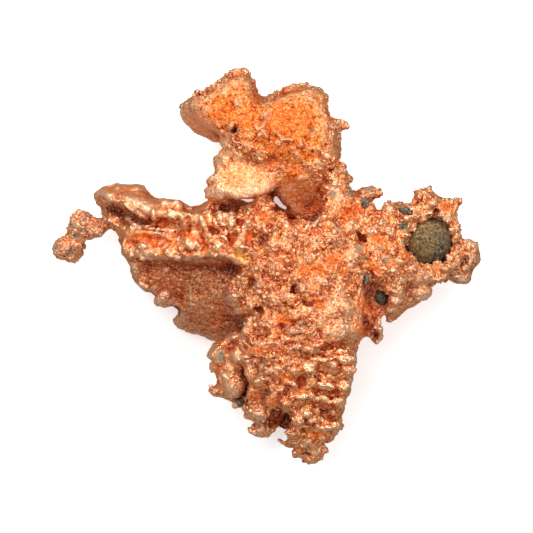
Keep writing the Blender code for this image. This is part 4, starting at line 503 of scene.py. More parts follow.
def gap_to(places, start, end):
    """Distance on the plan from each place to the line between two points."""
    x, y = places[:, 0] - start[0], places[:, 1] - start[1]
    across, up = end[0] - start[0], end[1] - start[1]
    along = np.clip((x * across + y * up) / (across ** 2 + up ** 2), 0.0, 1.0)
    return np.hypot(x - along * across, y - along * up)


def inside_by(outline, places, fade):
    """How far each place lies inside an outline on the plan: 0 outside, 1 inside, fading over its edge."""
    x, y = places[:, 0], places[:, 1]
    within = np.zeros(len(places), bool)
    sides = list(zip(outline, outline[1:] + outline[:1]))
    for (x0, y0), (x1, y1) in sides:
        if y0 != y1:
            spans = (y0 > y) != (y1 > y)
            within ^= spans & (x < (x1 - x0) * (y - y0) / (y1 - y0) + x0)
    nearest = np.min([gap_to(places, start, end) for start, end in sides], axis=0)
    share = np.clip(np.where(within, nearest, -nearest) / fade * 0.5 + 0.5, 0.0, 1.0)
    return share * share * (3.0 - 2.0 * share)


def spot(places, x, y, radius, stretch=1.0, turn=0.0):
    """A soft round or long mark on the plan, 1 in its middle."""
    cos, sin = math.cos(math.radians(turn)), math.sin(math.radians(turn))
    right, up = places[:, 0] - x, places[:, 1] - y
    u = (right * cos + up * sin) / (radius * stretch)
    v = (up * cos - right * sin) / radius
    return np.exp(-(u * u + v * v) ** 1.5)


def painted(spots, places):
    """How strongly some marks show at each place."""
    return np.max([spot(places, *mark) for mark in spots], axis=0)


def deepest(pits, places):
    """How deep some marks, each with its depth before its place, go at each place."""
    return np.max([spot(places, *mark) * depth for depth, *mark in pits], axis=0)


def stroke(places, points, width):
    """A soft line through points on the plan, 1 along its middle."""
    nearest = np.min([gap_to(places, start, end) for start, end in zip(points, points[1:])], axis=0)
    return np.exp(-(nearest / width) ** 2)


# Relief of the skin, in millimetres along its normal

def shares(places, normals):
    """How much each kind of surface shows at each place."""
    ragged = warped(places, 0.5, 1.7, 900)
    upper = ramp(normals[:, 2], -0.15, 0.35)
    kinds = {kind: inside_by(outline, ragged, fade) * (upper if above else 1.0)
             for kind, (fade, above, outline) in STRETCHES.items()}
    kinds["band"] *= (1.0 - kinds["ledge"]) * (1.0 - kinds["brown"]) * (1.0 - kinds["slope"])
    kinds["ledge"] *= 1.0 - kinds["slope"]
    kinds["lobes"] *= 1.0 - kinds["stacked"]
    kinds["grainy"] = 1.0 - np.max(list(kinds.values()), axis=0)
    return kinds


def marks(places, normals):
    """Height that the pits and creases take away on the upper side."""
    upper = ramp(normals[:, 2], 0.1, 0.3)
    ragged = warped(warped(places, 0.3, 0.5, 960), 0.4, 1.2, 950)
    taken = deepest(PITS, ragged)
    for width, depth, points in CREASES:
        taken = np.maximum(taken, stroke(ragged, points, width) * depth)
    return -taken * upper * MARK_SHARE


def relief(places, kinds):
    """Height of the skin over its worn-down base."""
    ragged = warped(warped(places, 0.25, 0.7, 40), 0.5, 1.9, 50)
    lumps = domes(warped(places, 0.9, 3.2, 20), 3.0, 150) - 0.55
    knots = domes(ragged, 1.5, 100) - 0.55
    beads = domes(ragged, 0.75, 200) - 0.55
    broken = facets(ragged, 1.2, 250)
    fine = facets(ragged, 0.6, 300, tilt=1.1)
    planes = facets(warped(places, 0.3, 2.4, 320), 3.6, 330, tilt=2.4)
    soft = billows(places, 3.0, 400)
    holes = np.clip(waves(ragged, 1.3, 500) - 0.48, 0.0, 1.0)
    busy = np.clip(waves(places, 4.0, 550) * 1.3 + 0.6, 0.15, 1.2)
    folds = crests(ragged, 1.4, 420) * 0.24 + crests(ragged, 0.7, 440) * 0.18 - 0.18
    nearest, second, away, tag = crystals(warped(places, 0.8, 2.6, 60), 2.4, 700, (2.2, 0.9, 1.2))
    shingle = (-away[:, 1] * 0.9 + np.clip((second - nearest) / 0.3, 0.0, 1.0) * 0.5 + (tag - 0.5) * 0.7)
    scales = domes(warped(places, 0.9, 2.8, 160), 2.1, 660, (1.5, 1.0, 1.0)) - 0.5
    heights = {
        "grainy": lumps * 0.36 + knots * 0.14 * busy + folds * (0.5 + busy) + broken * 0.08 + fine * 0.05
                  - holes * 0.7,
        "brown": streaks(places, 0.55, 800) * 0.12 + soft * 0.22 + folds * 0.15 + fine * 0.06,
        "flap": soft * 0.25 + folds * 0.2 + fine * 0.08,
        "facet": soft * 0.10 + fine * 0.03,
        "trough": soft * 0.08 + fine * 0.05,
        "ledge": planes * 0.17 + soft * 0.12 + broken * 0.08 + fine * 0.03,
        "slope": soft * 0.15 + folds * 0.2 + fine * 0.06,
        "sandy": soft * 0.30 + knots * 0.08 * busy + beads * 0.12 + fine * 0.05 - holes * 0.6 - 0.05,
        "band": knots * 0.14 + folds * 0.35 + broken * 0.18 + fine * 0.05,
        "tip": soft * 0.25 + knots * 0.16 + folds * 0.5 + broken * 0.12 + fine * 0.10,
        "swelling": soft * 0.25 + folds * 0.45 + fine * 0.14,
        "pale": soft * 0.25 + knots * 0.08 + folds * 0.45 + fine * 0.16,
        "stacked": scales * 0.65 + shingle * 0.08 + folds * 0.4 + fine * 0.06 - holes * 0.3,
        "lobes": soft * 0.2 + knots * 0.10 + folds * 0.45 + beads * 0.12 + fine * 0.12,
        "notch": soft * 0.2 + knots * 0.30 + broken * 0.15 + fine * 0.08,
        "far": knots * 0.30 + folds * 0.8 + beads * 0.30 + fine * 0.14,
    }
    total = np.zeros(len(places))
    for kind, height in heights.items():
        part = kinds[kind] * height
        if kind in COVERED_BY:
            part *= 1.0 - kinds[COVERED_BY[kind]]
        total += part
    return total * (1.0 - painted(WAYS_THROUGH, places) * 0.9)


# Meshes

def numbers(items, name, width):
    """One property of many mesh items as an array."""
    found = np.empty(len(items) * width)
    items.foreach_get(name, found)
    return found.reshape(-1, width)


def vertices_of(mesh):
    """Places and normals of a mesh's vertices."""
    return numbers(mesh.vertices, "co", 3), numbers(mesh.vertices, "normal", 3)


def faces_of(mesh):
    """Centres, normals and areas of a mesh's faces."""
    faces = mesh.polygons
    return numbers(faces, "center", 3), numbers(faces, "normal", 3), numbers(faces, "area", 1)[:, 0]


def modify(item, kind, **settings):
    """Run a modifier on an object and freeze it into its mesh."""
    modifier = item.modifiers.new(kind, kind)
    for name, value in settings.items():
        setattr(modifier, name, value)
    graph = bpy.context.evaluated_depsgraph_get()
    mesh = bpy.data.meshes.new_from_object(item.evaluated_get(graph))
    item.modifiers.clear()
    old = item.data
    item.data = mesh
    bpy.data.meshes.remove(old)


def fuse(item, cell):
    """Melt a body into one even skin."""
    modify(item, "REMESH", mode="VOXEL", voxel_size=cell)


def soften(item, repeats):
    """Wear a skin down."""
    modify(item, "SMOOTH", factor=0.5, iterations=repeats)


def thin_out(item, triangles):
    """Keep about a number of triangles, most where the skin bends most."""
    item.data.calc_loop_triangles()
    ratio = triangles / len(item.data.loop_triangles)
    if ratio < 1.0:
        modify(item, "DECIMATE", ratio=ratio, use_collapse_triangulate=True)


def drop_loose(item):
    """Delete what hangs free of an item's largest body."""
    work = bmesh.new()
    work.from_mesh(item.data)
    left = set(work.verts)
    bodies = []
    while left:
        body = [left.pop()]
        for vertex in body:
            near = {edge.other_vert(vertex) for edge in vertex.link_edges} & left
            left -= near
            body.extend(near)
        bodies.append(body)
    bodies.sort(key=len)
    bmesh.ops.delete(work, geom=[vertex for body in bodies[:-1] for vertex in body], context="VERTS")
    work.to_mesh(item.data)
    work.free()


def link(name, mesh):
    """Put a mesh, light or camera in the scene."""
    made = bpy.data.objects.new(name, mesh)
    bpy.context.scene.collection.objects.link(made)
    return made


def finished(work, name):
    """A mesh from a working mesh, which is freed."""
    mesh = bpy.data.meshes.new(name)
    work.to_mesh(mesh)
    work.free()
    return mesh


def on_plan(node_name, shift):
    """A CAD node's mesh, welded and laid on the plan in millimetres."""
    work = bmesh.new()
    work.from_mesh(frame["nodes"][node_name].data)
    bmesh.ops.remove_doubles(work, verts=work.verts[:], dist=1e-7)
    to_plan = Matrix.Translation(-shift) @ Matrix.Scale(1.0 / MM, 4)
    bmesh.ops.transform(work, matrix=to_plan, verts=work.verts[:])
    return finished(work, node_name)


def to_frame(item, shift):
    """Move a finished piece from the plan to the frame, in metres."""
    item.data.transform(Matrix.Scale(MM, 4) @ Matrix.Translation(shift))
    item.data.update()


def pattern(work):
    """Corners and triangles of a working mesh, which is freed."""
    work.verts.index_update()
    corners = np.array([vertex.co[:] for vertex in work.verts])
    triangles = np.array([[vertex.index for vertex in face.verts] for face in work.faces])
    work.free()
    return corners, triangles


def copies(shape, places, sizes, turns):
    """A shape's corners and triangles, once for each place, size along its axes and 3 x 3 turn."""
    corners, triangles = shape
    moved = np.einsum("nij,nkj->nki", turns, corners[None] * sizes[:, None]) + places[:, None]
    numbered = triangles[None] + (np.arange(len(places)) * len(corners))[:, None, None]
    return moved.reshape(-1, 3), numbered.reshape(-1, 3)


def gathered(parts):
    """Corners and triangles of several meshes as those of one."""
    starts = np.cumsum([0] + [len(corners) for corners, _ in parts])
    triangles = [some + start for (_, some), start in zip(parts, starts)]
    return np.concatenate([corners for corners, _ in parts]), np.concatenate(triangles)


def mesh_from(name, corners, triangles):
    """A mesh of triangles."""
    mesh = bpy.data.meshes.new(name)
    mesh.vertices.add(len(corners))
    mesh.vertices.foreach_set("co", corners.ravel())
    mesh.loops.add(triangles.size)
    mesh.loops.foreach_set("vertex_index", triangles.ravel())
    mesh.polygons.add(len(triangles))
    mesh.polygons.foreach_set("loop_start", np.arange(0, triangles.size, 3))
    mesh.update(calc_edges=True)
    return mesh


# Metal that is added to the solid, as balls: x, y, z, three radii and a turn about the upright axis

def top_at(solid, x, y):
    """Height of the solid under a place on the plan."""
    hit = solid.ray_cast(Vector((x, y, 60.0)), Vector((0.0, 0.0, -1.0)))[0]
    return (hit or solid.find_nearest(Vector((x, y, WIDEST_LEVEL)))[0]).z


def knob(solid, stand, x, y, across, along, turn=0.0):
    """Ball of a knob, which stands on the solid under it."""
    thick = (across + along) * 0.45
    return (x, y, top_at(solid, x, y) + stand - thick, across, along, thick, turn)


def steps(start, end, count):
    """Rows of numbers spread evenly from a first to a last."""
    return [np.array(start) * (1.0 - share) + np.array(end) * share for share in np.linspace(0.0, 1.0, count)]


def ridges(solid):
    """Balls along each ridge."""
    balls = []
    for radius, stand, points in RIDGES:
        for start, end in zip(points, points[1:]):
            for x, y in steps(start, end, 2 + int(math.dist(start, end) / radius * 1.5)):
                balls.append((x, y, top_at(solid, x, y) + stand - radius, radius, radius, radius, 0.0))
    return balls


def fingers():
    """Balls along each finger."""
    balls = []
    for chain in FINGERS:
        for start, end in zip(chain, chain[1:]):
            for x, y, z, radius in steps(start, end, 6):
                balls.append((x, y, z, radius, radius, radius, 0.0))
    return balls


def claws():
    """Balls over the rim of the pebble's pocket."""
    balls = []
    for bearing, reach, z, radius in CLAWS:
        x = PEBBLE_ON_PLAN[0] + reach * math.cos(math.radians(bearing))
        y = PEBBLE_ON_PLAN[1] + reach * math.sin(math.radians(bearing))
        balls.append((x, y, z, radius, radius, radius * 0.8, 0.0))
    return balls


def wall_beads(mesh):
    """Balls on the steep walls, save where those are smooth."""
    dice = np.random.default_rng(41)
    centres, normals, areas = faces_of(mesh)
    weights = areas * (np.abs(normals[:, 2]) < 0.6)
    for kind in SMOOTH_WALLS:
        weights *= 1.0 - inside_by(STRETCHES[kind][2], centres, 0.5)
    weights *= painted(WAYS_THROUGH, centres) < 0.05
    chosen = dice.choice(len(centres), WALL_BEADS, p=weights / weights.sum())
    radii = dice.uniform(*WALL_BEAD_RADII, WALL_BEADS)
    places = centres[chosen] - normals[chosen] * radii[:, None] * WALL_BEAD_DEPTH
    sizes = radii[:, None] * dice.uniform(0.85, 1.35, (WALL_BEADS, 3))
    return np.column_stack([places, sizes, dice.uniform(0.0, 180.0, WALL_BEADS)])


def upright_turns(degrees):
    """Turns about the upright axis, as 3 x 3 matrices."""
    angles = np.radians(degrees)
    turns = np.zeros((len(angles), 3, 3))
    turns[:, 0, 0] = turns[:, 1, 1] = np.cos(angles)
    turns[:, 1, 0] = np.sin(angles)
    turns[:, 0, 1] = -turns[:, 1, 0]
    turns[:, 2, 2] = 1.0
    return turns


def added_metal(mesh):
    """The solid joined by its knobs, ridges, fingers, claws and beads, which still overlap."""
    mesh.calc_loop_triangles()
    corners = numbers(mesh.vertices, "co", 3)
    triangles = numbers(mesh.loop_triangles, "vertices", 3).astype(np.int64)
    solid = BVHTree.FromPolygons(corners.tolist(), triangles.tolist())
    knobs = [knob(solid, *row) for row in KNOBS]
    balls = np.concatenate([np.array(knobs + ridges(solid) + fingers() + claws()), wall_beads(mesh)])
    ball = bmesh.new()
    bmesh.ops.create_icosphere(ball, subdivisions=3, radius=1.0)
    extra = copies(pattern(ball), balls[:, :3], balls[:, 3:6], upright_turns(balls[:, 6]))
    return mesh_from("metal", *gathered([(corners, triangles), extra]))


# The skin

def carve(mesh):
    """Draw the outline into its bays and sink the valleys."""
    places, normals = vertices_of(mesh)
    wall = ramp(np.abs(normals[:, 2]), 0.85, -0.3)
    upper = ramp(normals[:, 2], 0.1, 0.4)
    drawn = sum(spot(places, *bay) * depth for depth, *bay in BAYS)
    sunk = deepest(VALLEYS, places)
    places -= normals * (drawn * wall)[:, None]
    places[:, 2] -= sunk * upper * VALLEY_SHARE
    mesh.vertices.foreach_set("co", places.ravel())
    mesh.update()


def copper_skin(shift):
    """The whole skin of the nugget, grown from its solid."""
    skin = link("copper_surface", on_plan("copper_nugget", shift))
    fuse(skin, CORE_CELL)
    soften(skin, CORE_ROUNDING)
    carve(skin.data)
    skin.data = added_metal(skin.data)
    fuse(skin, CELL)
    soften(skin, ROUNDING)
    mesh = skin.data
    places, normals = vertices_of(mesh)
    height = relief(places, shares(places, normals)) + marks(places, normals)
    height *= np.where(normals[:, 2] < BACK_NORMAL, BACK_RELIEF, 1.0)
    places += normals * height[:, None]
    places[:, 2] = np.maximum(places[:, 2], REST_LEVEL)
    mesh.vertices.foreach_set("co", places.ravel())
    thin_out(skin, SKIN_TRIANGLES)
    drop_loose(skin)
    return skin


# Crust of separate grains over the skin

def broken_grain(dice, points):
    """Corners and triangles of a broken grain: the hull round a few points near a ball."""
    work = bmesh.new()
    for _ in range(points):
        way = dice.normal(size=3)
        work.verts.new(way / np.linalg.norm(way) * dice.uniform(0.8, 1.1))
    bmesh.ops.convex_hull(work, input=work.verts[:])
    inner = [vertex for vertex in work.verts if not vertex.link_faces]
    bmesh.ops.delete(work, geom=inner, context="VERTS")
    bmesh.ops.triangulate(work, faces=work.faces[:])
    bmesh.ops.recalc_face_normals(work, faces=work.faces[:])
    return pattern(work)


def random_turns(dice, count):
    """Turns any way, as 3 x 3 matrices."""
    four = dice.normal(size=(4, count))
    w, x, y, z = four / np.linalg.norm(four, axis=0)
    return np.stack([
        np.stack([1 - 2 * (y * y + z * z), 2 * (x * y - z * w), 2 * (x * z + y * w)], axis=1),
        np.stack([2 * (x * y + z * w), 1 - 2 * (x * x + z * z), 2 * (y * z - x * w)], axis=1),
        np.stack([2 * (x * z - y * w), 2 * (y * z + x * w), 1 - 2 * (x * x + y * y)], axis=1),
    ], axis=1)


def crust(name, outline, count, skin, seed):
    """Grains strewn over one stretch of the skin, half sunk in it, and how deep their corners lie."""
    dice = np.random.default_rng(seed)
    centres, normals, areas = faces_of(skin)
    kinds = shares(centres, normals)
    density = sum(kinds[kind] * share for kind, share in GRAIN_SHARES.items())
    patches = np.clip(waves(centres, 2.6, 970) * 3.0 + 0.7, 0.05, 2.5)
    weights = areas * density * patches * (normals[:, 2] > 0.3)
    weights *= (inside_by(outline, centres, 0.1) > 0.5) * (painted(WAYS_THROUGH, centres) < 0.05)
    chosen = dice.choice(len(centres), count, p=weights / weights.sum())
    centres, normals = centres[chosen], normals[chosen]
    radii = np.clip(np.exp(dice.normal(GRAIN_MEDIAN, GRAIN_SPREAD, count)), *GRAIN_RADII)
    radii *= 1.0 - SANDY_GRAINS * kinds["sandy"][chosen]
    places = centres + normals * radii[:, None] * dice.uniform(-0.4, 0.2, count)[:, None]
    sizes = radii[:, None] * dice.uniform(0.7, 1.3, (count, 3))
    turns = random_turns(dice, count)
    grains = [broken_grain(dice, points) for points in GRAIN_POINTS]
    parts = []
    depths = []
    for index, grain in enumerate(grains):
        mine = np.arange(count) % len(grains) == index
        each = len(grain[0])
        parts.append(copies(grain, places[mine], sizes[mine], turns[mine]))
        rise = (parts[-1][0] - np.repeat(places[mine], each, axis=0)) * np.repeat(normals[mine], each, axis=0)
        depths.append(-rise.sum(axis=1) / np.repeat(radii[mine], each))
    return link(name, mesh_from(name, *gathered(parts))), np.clip(np.concatenate(depths), -1.0, 1.0)


# Colours of the metal

SCRATCHED = (1.0, 0.44, 0.16)
RICH = (0.98, 0.30, 0.06)
PALE = (0.97, 0.50, 0.27)
GLOWING = (1.0, 0.20, 0.015)
GILDED = (1.0, 0.47, 0.045)
SHADED = (0.30, 0.085, 0.03)
# Painted highlight on the tips
HIGHLIGHT_PAINT = (1.0, 0.74, 0.54)
WALL_SHADE = (0.90, 0.66, 0.48)  # what a steep wall keeps of its colour
# Tone, roughness and share of bare metal, which isn't under a thin red oxide, of each kind of surface
METAL = {
    "grainy": (0.98, 0.415, 0.12, 0.36, 0.90),
    # Painted shade: the brown face is toned darker than the rest
    "brown": (0.71, 0.235, 0.075, 0.42, 0.92),
    "flap": (0.95, 0.43, 0.16, 0.44, 0.92),
    "facet": (1.0, 0.51, 0.27, 0.52, 0.84),
    "trough": (1.0, 0.40, 0.105, 0.56, 0.70),
    "ledge": (0.91, 0.415, 0.175, 0.47, 0.92),
    "sandy": (0.97, 0.285, 0.03, 0.46, 0.76),
    "band": (0.91, 0.37, 0.125, 0.38, 0.93),
    # Painted shade: the slope under the ledge's crest is toned dark brown
    "slope": (0.50, 0.175, 0.06, 0.42, 0.92),
    "tip": (0.70, 0.28, 0.10, 0.42, 0.92),
    "swelling": (0.76, 0.34, 0.14, 0.48, 0.88),
    "pale": (1.0, 0.58, 0.30, 0.44, 0.84),
    "stacked": (0.88, 0.365, 0.11, 0.32, 0.94),
    "lobes": (1.0, 0.48, 0.20, 0.38, 0.90),
    "notch": (0.88, 0.30, 0.09, 0.44, 0.80),
    "far": (0.90, 0.40, 0.17, 0.46, 0.85),
}
# How free each kind of surface is of fine grit
POLISH = {"ledge": 0.65, "band": 0.5, "slope": 0.5, "stacked": 0.4, "swelling": 0.2, "tip": 0.1,
          "lobes": 0.25, "brown": 0.3, "flap": 0.35, "facet": 0.3}


def hollowness(mesh, passes, depth):
    """How deep each vertex lies among its neighbours, from -1 on a tip to 1 in a pit of some depth."""
    places, normals = vertices_of(mesh)
    first, second = numbers(mesh.edges, "vertices", 2).astype(np.int64).T
    count = (np.bincount(first, minlength=len(places)) + np.bincount(second, minlength=len(places))).clip(1)
    smooth = places.copy()
    for _ in range(passes):
        total = np.zeros_like(smooth)
        for axis in range(3):
            total[:, axis] = (np.bincount(first, smooth[second, axis], len(places))
                              + np.bincount(second, smooth[first, axis], len(places)))
        smooth = (smooth + total / count[:, None]) / 2.0
    return np.clip(((smooth - places) * normals).sum(axis=1) / depth, -1.0, 1.0)


def blend(colours, other, share):
    """Colours drawn towards another by a share each."""
    return colours + (np.array(other) - colours) * share[:, None]


def store(mesh, **named):
    """Keep numbers or colours on a mesh's vertices, each under its name."""
    for name, values in named.items():
        if values.ndim == 1:
            mesh.attributes.new(name, "FLOAT", "POINT").data.foreach_set("value", values)
        else:
            opaque = np.column_stack([values, np.ones(len(values))])
            mesh.attributes.new(name, "FLOAT_COLOR", "POINT").data.foreach_set("color", opaque.ravel())


def paint(item, hollow, sunk):
    """Store the metal's tone, with its painted glows, highlights and shade, its finish, the film of rock on
    it and its hollowness, fine and broad.
    """
    mesh = item.data
    places, normals = vertices_of(mesh)
    kinds = shares(places, normals)
    weight = sum(kinds[kind] for kind in METAL).clip(0.001)
    finish = sum(kinds[kind][:, None] * np.array(values) for kind, values in METAL.items()) / weight[:, None]
    upper = ramp(normals[:, 2], -0.3, 0.4)
    ragged = warped(warped(places, 0.35, 0.6, 980), 0.5, 1.6, 990)
    patch = billows(places, 5.0, 1000)
    coarse = 1.0 - kinds["brown"]
    rich = np.clip(patch * 2.2 - 0.35, 0.0, 1.0) * coarse * (1.0 - kinds["flap"])
    pale = np.clip(-patch * 2.2 - 0.35, 0.0, 1.0) * coarse * (1.0 - kinds["sandy"])
    scratches = np.clip(streaks(places, 0.5, 810) * 2.4 - 0.8, 0.0, 1.0) * kinds["brown"]
    glow = painted(GLOWS, ragged) * upper
    colours = finish[:, :3]
    # Over the tone go painted glows, a painted highlight on the tips and painted shade in the recesses,
    # besides the metal's own patches, scratches and gilt
    for other, share in ((RICH, rich * 0.55), (SCRATCHED, scratches * 0.7), (PALE, pale * 0.55),
                         (GLOWING, glow * 0.9), (HIGHLIGHT_PAINT, painted(HIGHLIGHT_SPOTS, ragged) * upper * 0.6),
                         (SHADED, painted(RECESSES, ragged) * upper * 0.85),
                         (GILDED, painted(GILT, places) * upper)):
        colours = blend(colours, other, share)
    steep = ramp(np.abs(normals[:, 2]), 0.45, -0.45) * (1.0 - kinds["facet"]) * (1.0 - kinds["lobes"])
    colours *= 1.0 - steep[:, None] * (1.0 - np.array(WALL_SHADE))
    # Glows keep little bare metal and get orange grains like the sandy face, so that their painted glow shows
    # as bright diffuse orange; hollows don't darken them
    store(mesh, tone=colours, dull=finish[:, 3], bare=finish[:, 4] * (1.0 - glow * 0.85),
          polish=sum(kinds[kind] * share for kind, share in POLISH.items()).clip(0.0, 1.0),
          sand=np.maximum(kinds["sandy"], glow), hollow=hollow * (1.0 - glow), sunk=sunk * (1.0 - glow),
          film=np.clip(painted(FILMS, ragged) * 2.2 - 0.5, 0.0, 1.0) * upper)


# Materials: scales of noise are in marks to the metre

# Part of the metal's colour that is kept
CLOUDED = (0.92, 0.76, 0.60)    # in faint clouds
# Painted shade in small hollows
PIT_SHADE = (0.72, 0.33, 0.165)    # in small hollows
# Painted shade in broad hollows
HOLLOW_SHADE = (0.66, 0.42, 0.30)     # in broad hollows
FIRED = (0.82, 0.51, 0.30)      # between grains
BURNT = (0.52, 0.22, 0.10)      # in specks of the sandy face
DUSTY = (0.72, 0.62, 0.52)
PORES = (0.35, 0.35, 0.38)      # of stone
# Colours that it is drawn to
# Painted highlight on tips
TIP_HIGHLIGHT = (1.0, 0.68, 0.48)
# Painted highlight on broad rises
RISE_HIGHLIGHT = (1.0, 0.68, 0.46)
BRIGHT_GRAIN = (1.0, 0.78, 0.61)
BRIGHT_SAND = (1.0, 0.56, 0.24)
EDGE_TINT = (1.0, 0.72, 0.50)   # of what the metal mirrors at a low angle
FILM_DARK = (0.15, 0.115, 0.07)
FILM_LIGHT = (0.40, 0.32, 0.22)
# Dark, middle and light of each stone, and the scale of its mottling
PEBBLE_LOOK = ((0.026, 0.027, 0.022), (0.15, 0.092, 0.034), (0.45, 0.245, 0.08), 430.0)
MATRIX_LOOK = ((0.08, 0.062, 0.04), (0.24, 0.19, 0.125), (0.45, 0.36, 0.25), 900.0)


def plug(tree, socket, value):
    """Link a socket to another, or give it a number or a colour."""
    if isinstance(value, bpy.types.NodeSocket):
        tree.links.new(value, socket)
    else:
        socket.default_value = (*value, 1.0) if isinstance(value, tuple) else value


def node(tree, kind, **inputs):
    """A new node with some of its inputs filled."""
    made = tree.nodes.new("ShaderNode" + kind)
    for name, value in inputs.items():
        plug(tree, made.inputs[name.replace("_", " ")], value)
    return made


def plain_material(name, colour, roughness, metallic):
    """A material and its shader, with plain values."""
    made = bpy.data.materials.new(name)
    made.use_nodes = True
    shader = made.node_tree.nodes["Principled BSDF"]
    plug(made.node_tree, shader.inputs["Base Color"], colour)
    shader.inputs["Roughness"].default_value = roughness
    shader.inputs["Metallic"].default_value = metallic
    return made, shader


def stored(tree, name, output="Fac"):
    """What is stored on the vertices under a name."""
    made = node(tree, "Attribute")
    made.attribute_name = name
    return made.outputs[output]


def mix(tree, share, first, second, blend="MIX"):
    """A first colour drawn by a share to a second, or to the product of both."""
    made = node(tree, "Mix")
    made.data_type = "RGBA"
    made.blend_type = blend
    for index, value in ((0, share), (6, first), (7, second)):
        plug(tree, made.inputs[index], value)
    return made.outputs[2]


def spread(tree, value, low, high, last=1.0, first=0.0):
    """A value that goes from a low to a high one, made to go from a first to a last one."""
    made = node(tree, "MapRange", Value=value, From_Min=low, From_Max=high, To_Min=first, To_Max=last)
    return made.outputs["Result"]


def joined(tree, operation, first, *others):
    """Sum or product of values."""
    for other in others:
        made = node(tree, "Math")
        made.operation = operation
        plug(tree, made.inputs[0], first)
        plug(tree, made.inputs[1], other)
        first = made.outputs[0]
    return first


def speckle(tree, place, scale, detail, roughness=0.6):
    """Noise in the piece's own coordinates."""
    noise = node(tree, "TexNoise", Vector=place, Scale=scale, Detail=detail, Roughness=roughness)
    return noise.outputs["Fac"]


def roughen(tree, shader, height, strength, distance):
    """Bump the surface that a shader shows."""
    bump = node(tree, "Bump", Height=height, Strength=strength, Distance=distance)
    tree.links.new(bump.outputs["Normal"], shader.inputs["Normal"])


def copper_material():
    """Natural copper, finely pitted all over, with a painted highlight that makes it bright and pale on its
    tips and painted shade that makes it redder and duller in its pits.
    """
    made, shader = plain_material("copper", (0.8, 0.4, 0.25), 0.38, 1.0)
    tree = made.node_tree
    plug(tree, shader.inputs["Specular Tint"], EDGE_TINT)
    place = node(tree, "TexCoord").outputs["Object"]
    hollow, sunk, sand, film = (stored(tree, name) for name in ("hollow", "sunk", "sand", "film"))
    cloud = speckle(tree, place, 260.0, 3.0)
    dust = speckle(tree, place, 1500.0, 2.0)
    grain = speckle(tree, place, 2300.0, 2.0, 0.75)
    grit = spread(tree, stored(tree, "polish"), 0.0, 1.0, 0.15, 1.0)
    gaps = joined(tree, "MULTIPLY", spread(tree, grain, 0.50, 0.38), grit)
    grains = joined(tree, "MULTIPLY", spread(tree, grain, 0.52, 0.66, 0.85), grit)
    specks = spread(tree, speckle(tree, place, 1250.0, 3.0), 0.54, 0.64)
    burns = joined(tree, "MULTIPLY", specks, sand)
    colour = stored(tree, "tone", "Color")
    colour = mix(tree, spread(tree, cloud, 0.42, 0.62, 0.7), colour, CLOUDED, "MULTIPLY")
    # Painted highlight on tips and rises, and painted shade in small and broad hollows
    colour = mix(tree, spread(tree, hollow, -0.1, -0.7, 0.28), colour, TIP_HIGHLIGHT)
    colour = mix(tree, spread(tree, hollow, 0.1, 0.8, 0.85), colour, PIT_SHADE, "MULTIPLY")
    colour = mix(tree, spread(tree, sunk, 0.08, 0.75, 0.9), colour, HOLLOW_SHADE, "MULTIPLY")
    colour = mix(tree, spread(tree, sunk, -0.1, -0.8, 0.35), colour, RISE_HIGHLIGHT)
    colour = mix(tree, gaps, colour, FIRED, "MULTIPLY")
    colour = mix(tree, grains, colour, mix(tree, sand, BRIGHT_GRAIN, BRIGHT_SAND))
    colour = mix(tree, burns, colour, BURNT, "MULTIPLY")
    colour = mix(tree, spread(tree, dust, 0.5, 0.68, 0.6), colour, DUSTY, "MULTIPLY")
    shades = spread(tree, speckle(tree, place, 900.0, 4.0), 0.42, 0.60)
    colour = mix(tree, film, colour, mix(tree, shades, FILM_DARK, FILM_LIGHT))
    tree.links.new(colour, shader.inputs["Base Color"])
    bare = joined(tree, "MULTIPLY", stored(tree, "bare"), spread(tree, film, 0.0, 1.0, 0.0, 1.0))
    tree.links.new(bare, shader.inputs["Metallic"])
    rough = joined(tree, "ADD", stored(tree, "dull"), spread(tree, hollow, -0.6, 0.6, 0.12, -0.08),
                   spread(tree, dust, 0.3, 0.7, 0.08, -0.06), spread(tree, film, 0.0, 1.0, 0.4))
    tree.links.new(rough, shader.inputs["Roughness"])
    pits = node(tree, "TexVoronoi", Vector=place, Scale=2600.0).outputs["Distance"]
    crumple = spread(tree, speckle(tree, place, 1100.0, 4.0, 0.7), 0.0, 1.0, 2.0)
    height = joined(tree, "ADD", pits, speckle(tree, place, 3800.0, 2.0), crumple)
    roughen(tree, shader, height, spread(tree, stored(tree, "polish"), 0.0, 1.0, 0.25, 0.95), 0.00014)
    return made


def stone_material(name, dark, middle, light, scale):
    """Matte rock, mottled in three colours, and painted more golden, as painted light, on the side that faces
    the lamps.
    """
    made, shader = plain_material(name, middle, 0.85, 0.0)
    tree = made.node_tree
    place = node(tree, "TexCoord").outputs["Object"]
    weather = stored(tree, "weather")
    cloud = joined(tree, "ADD", speckle(tree, place, scale, 6.0, 0.65),
                   spread(tree, weather, -1.0, 1.0, 0.06, -0.09))
    patch = joined(tree, "ADD", speckle(tree, place, scale * 4.5, 6.0, 0.8),
                   spread(tree, weather, -1.0, 1.0, 0.03, -0.04))
    pores = speckle(tree, place, scale * 2.2, 4.0, 0.7)
    colour = mix(tree, spread(tree, cloud, 0.42, 0.56), dark, middle)
    colour = mix(tree, spread(tree, patch, 0.51, 0.60), colour, light)
    colour = mix(tree, spread(tree, pores, 0.46, 0.38), colour, PORES, "MULTIPLY")
    tree.links.new(colour, shader.inputs["Base Color"])
    roughen(tree, shader, speckle(tree, place, scale * 6.0, 6.0, 0.7), 0.8, 0.00015)
    return made


# The stones

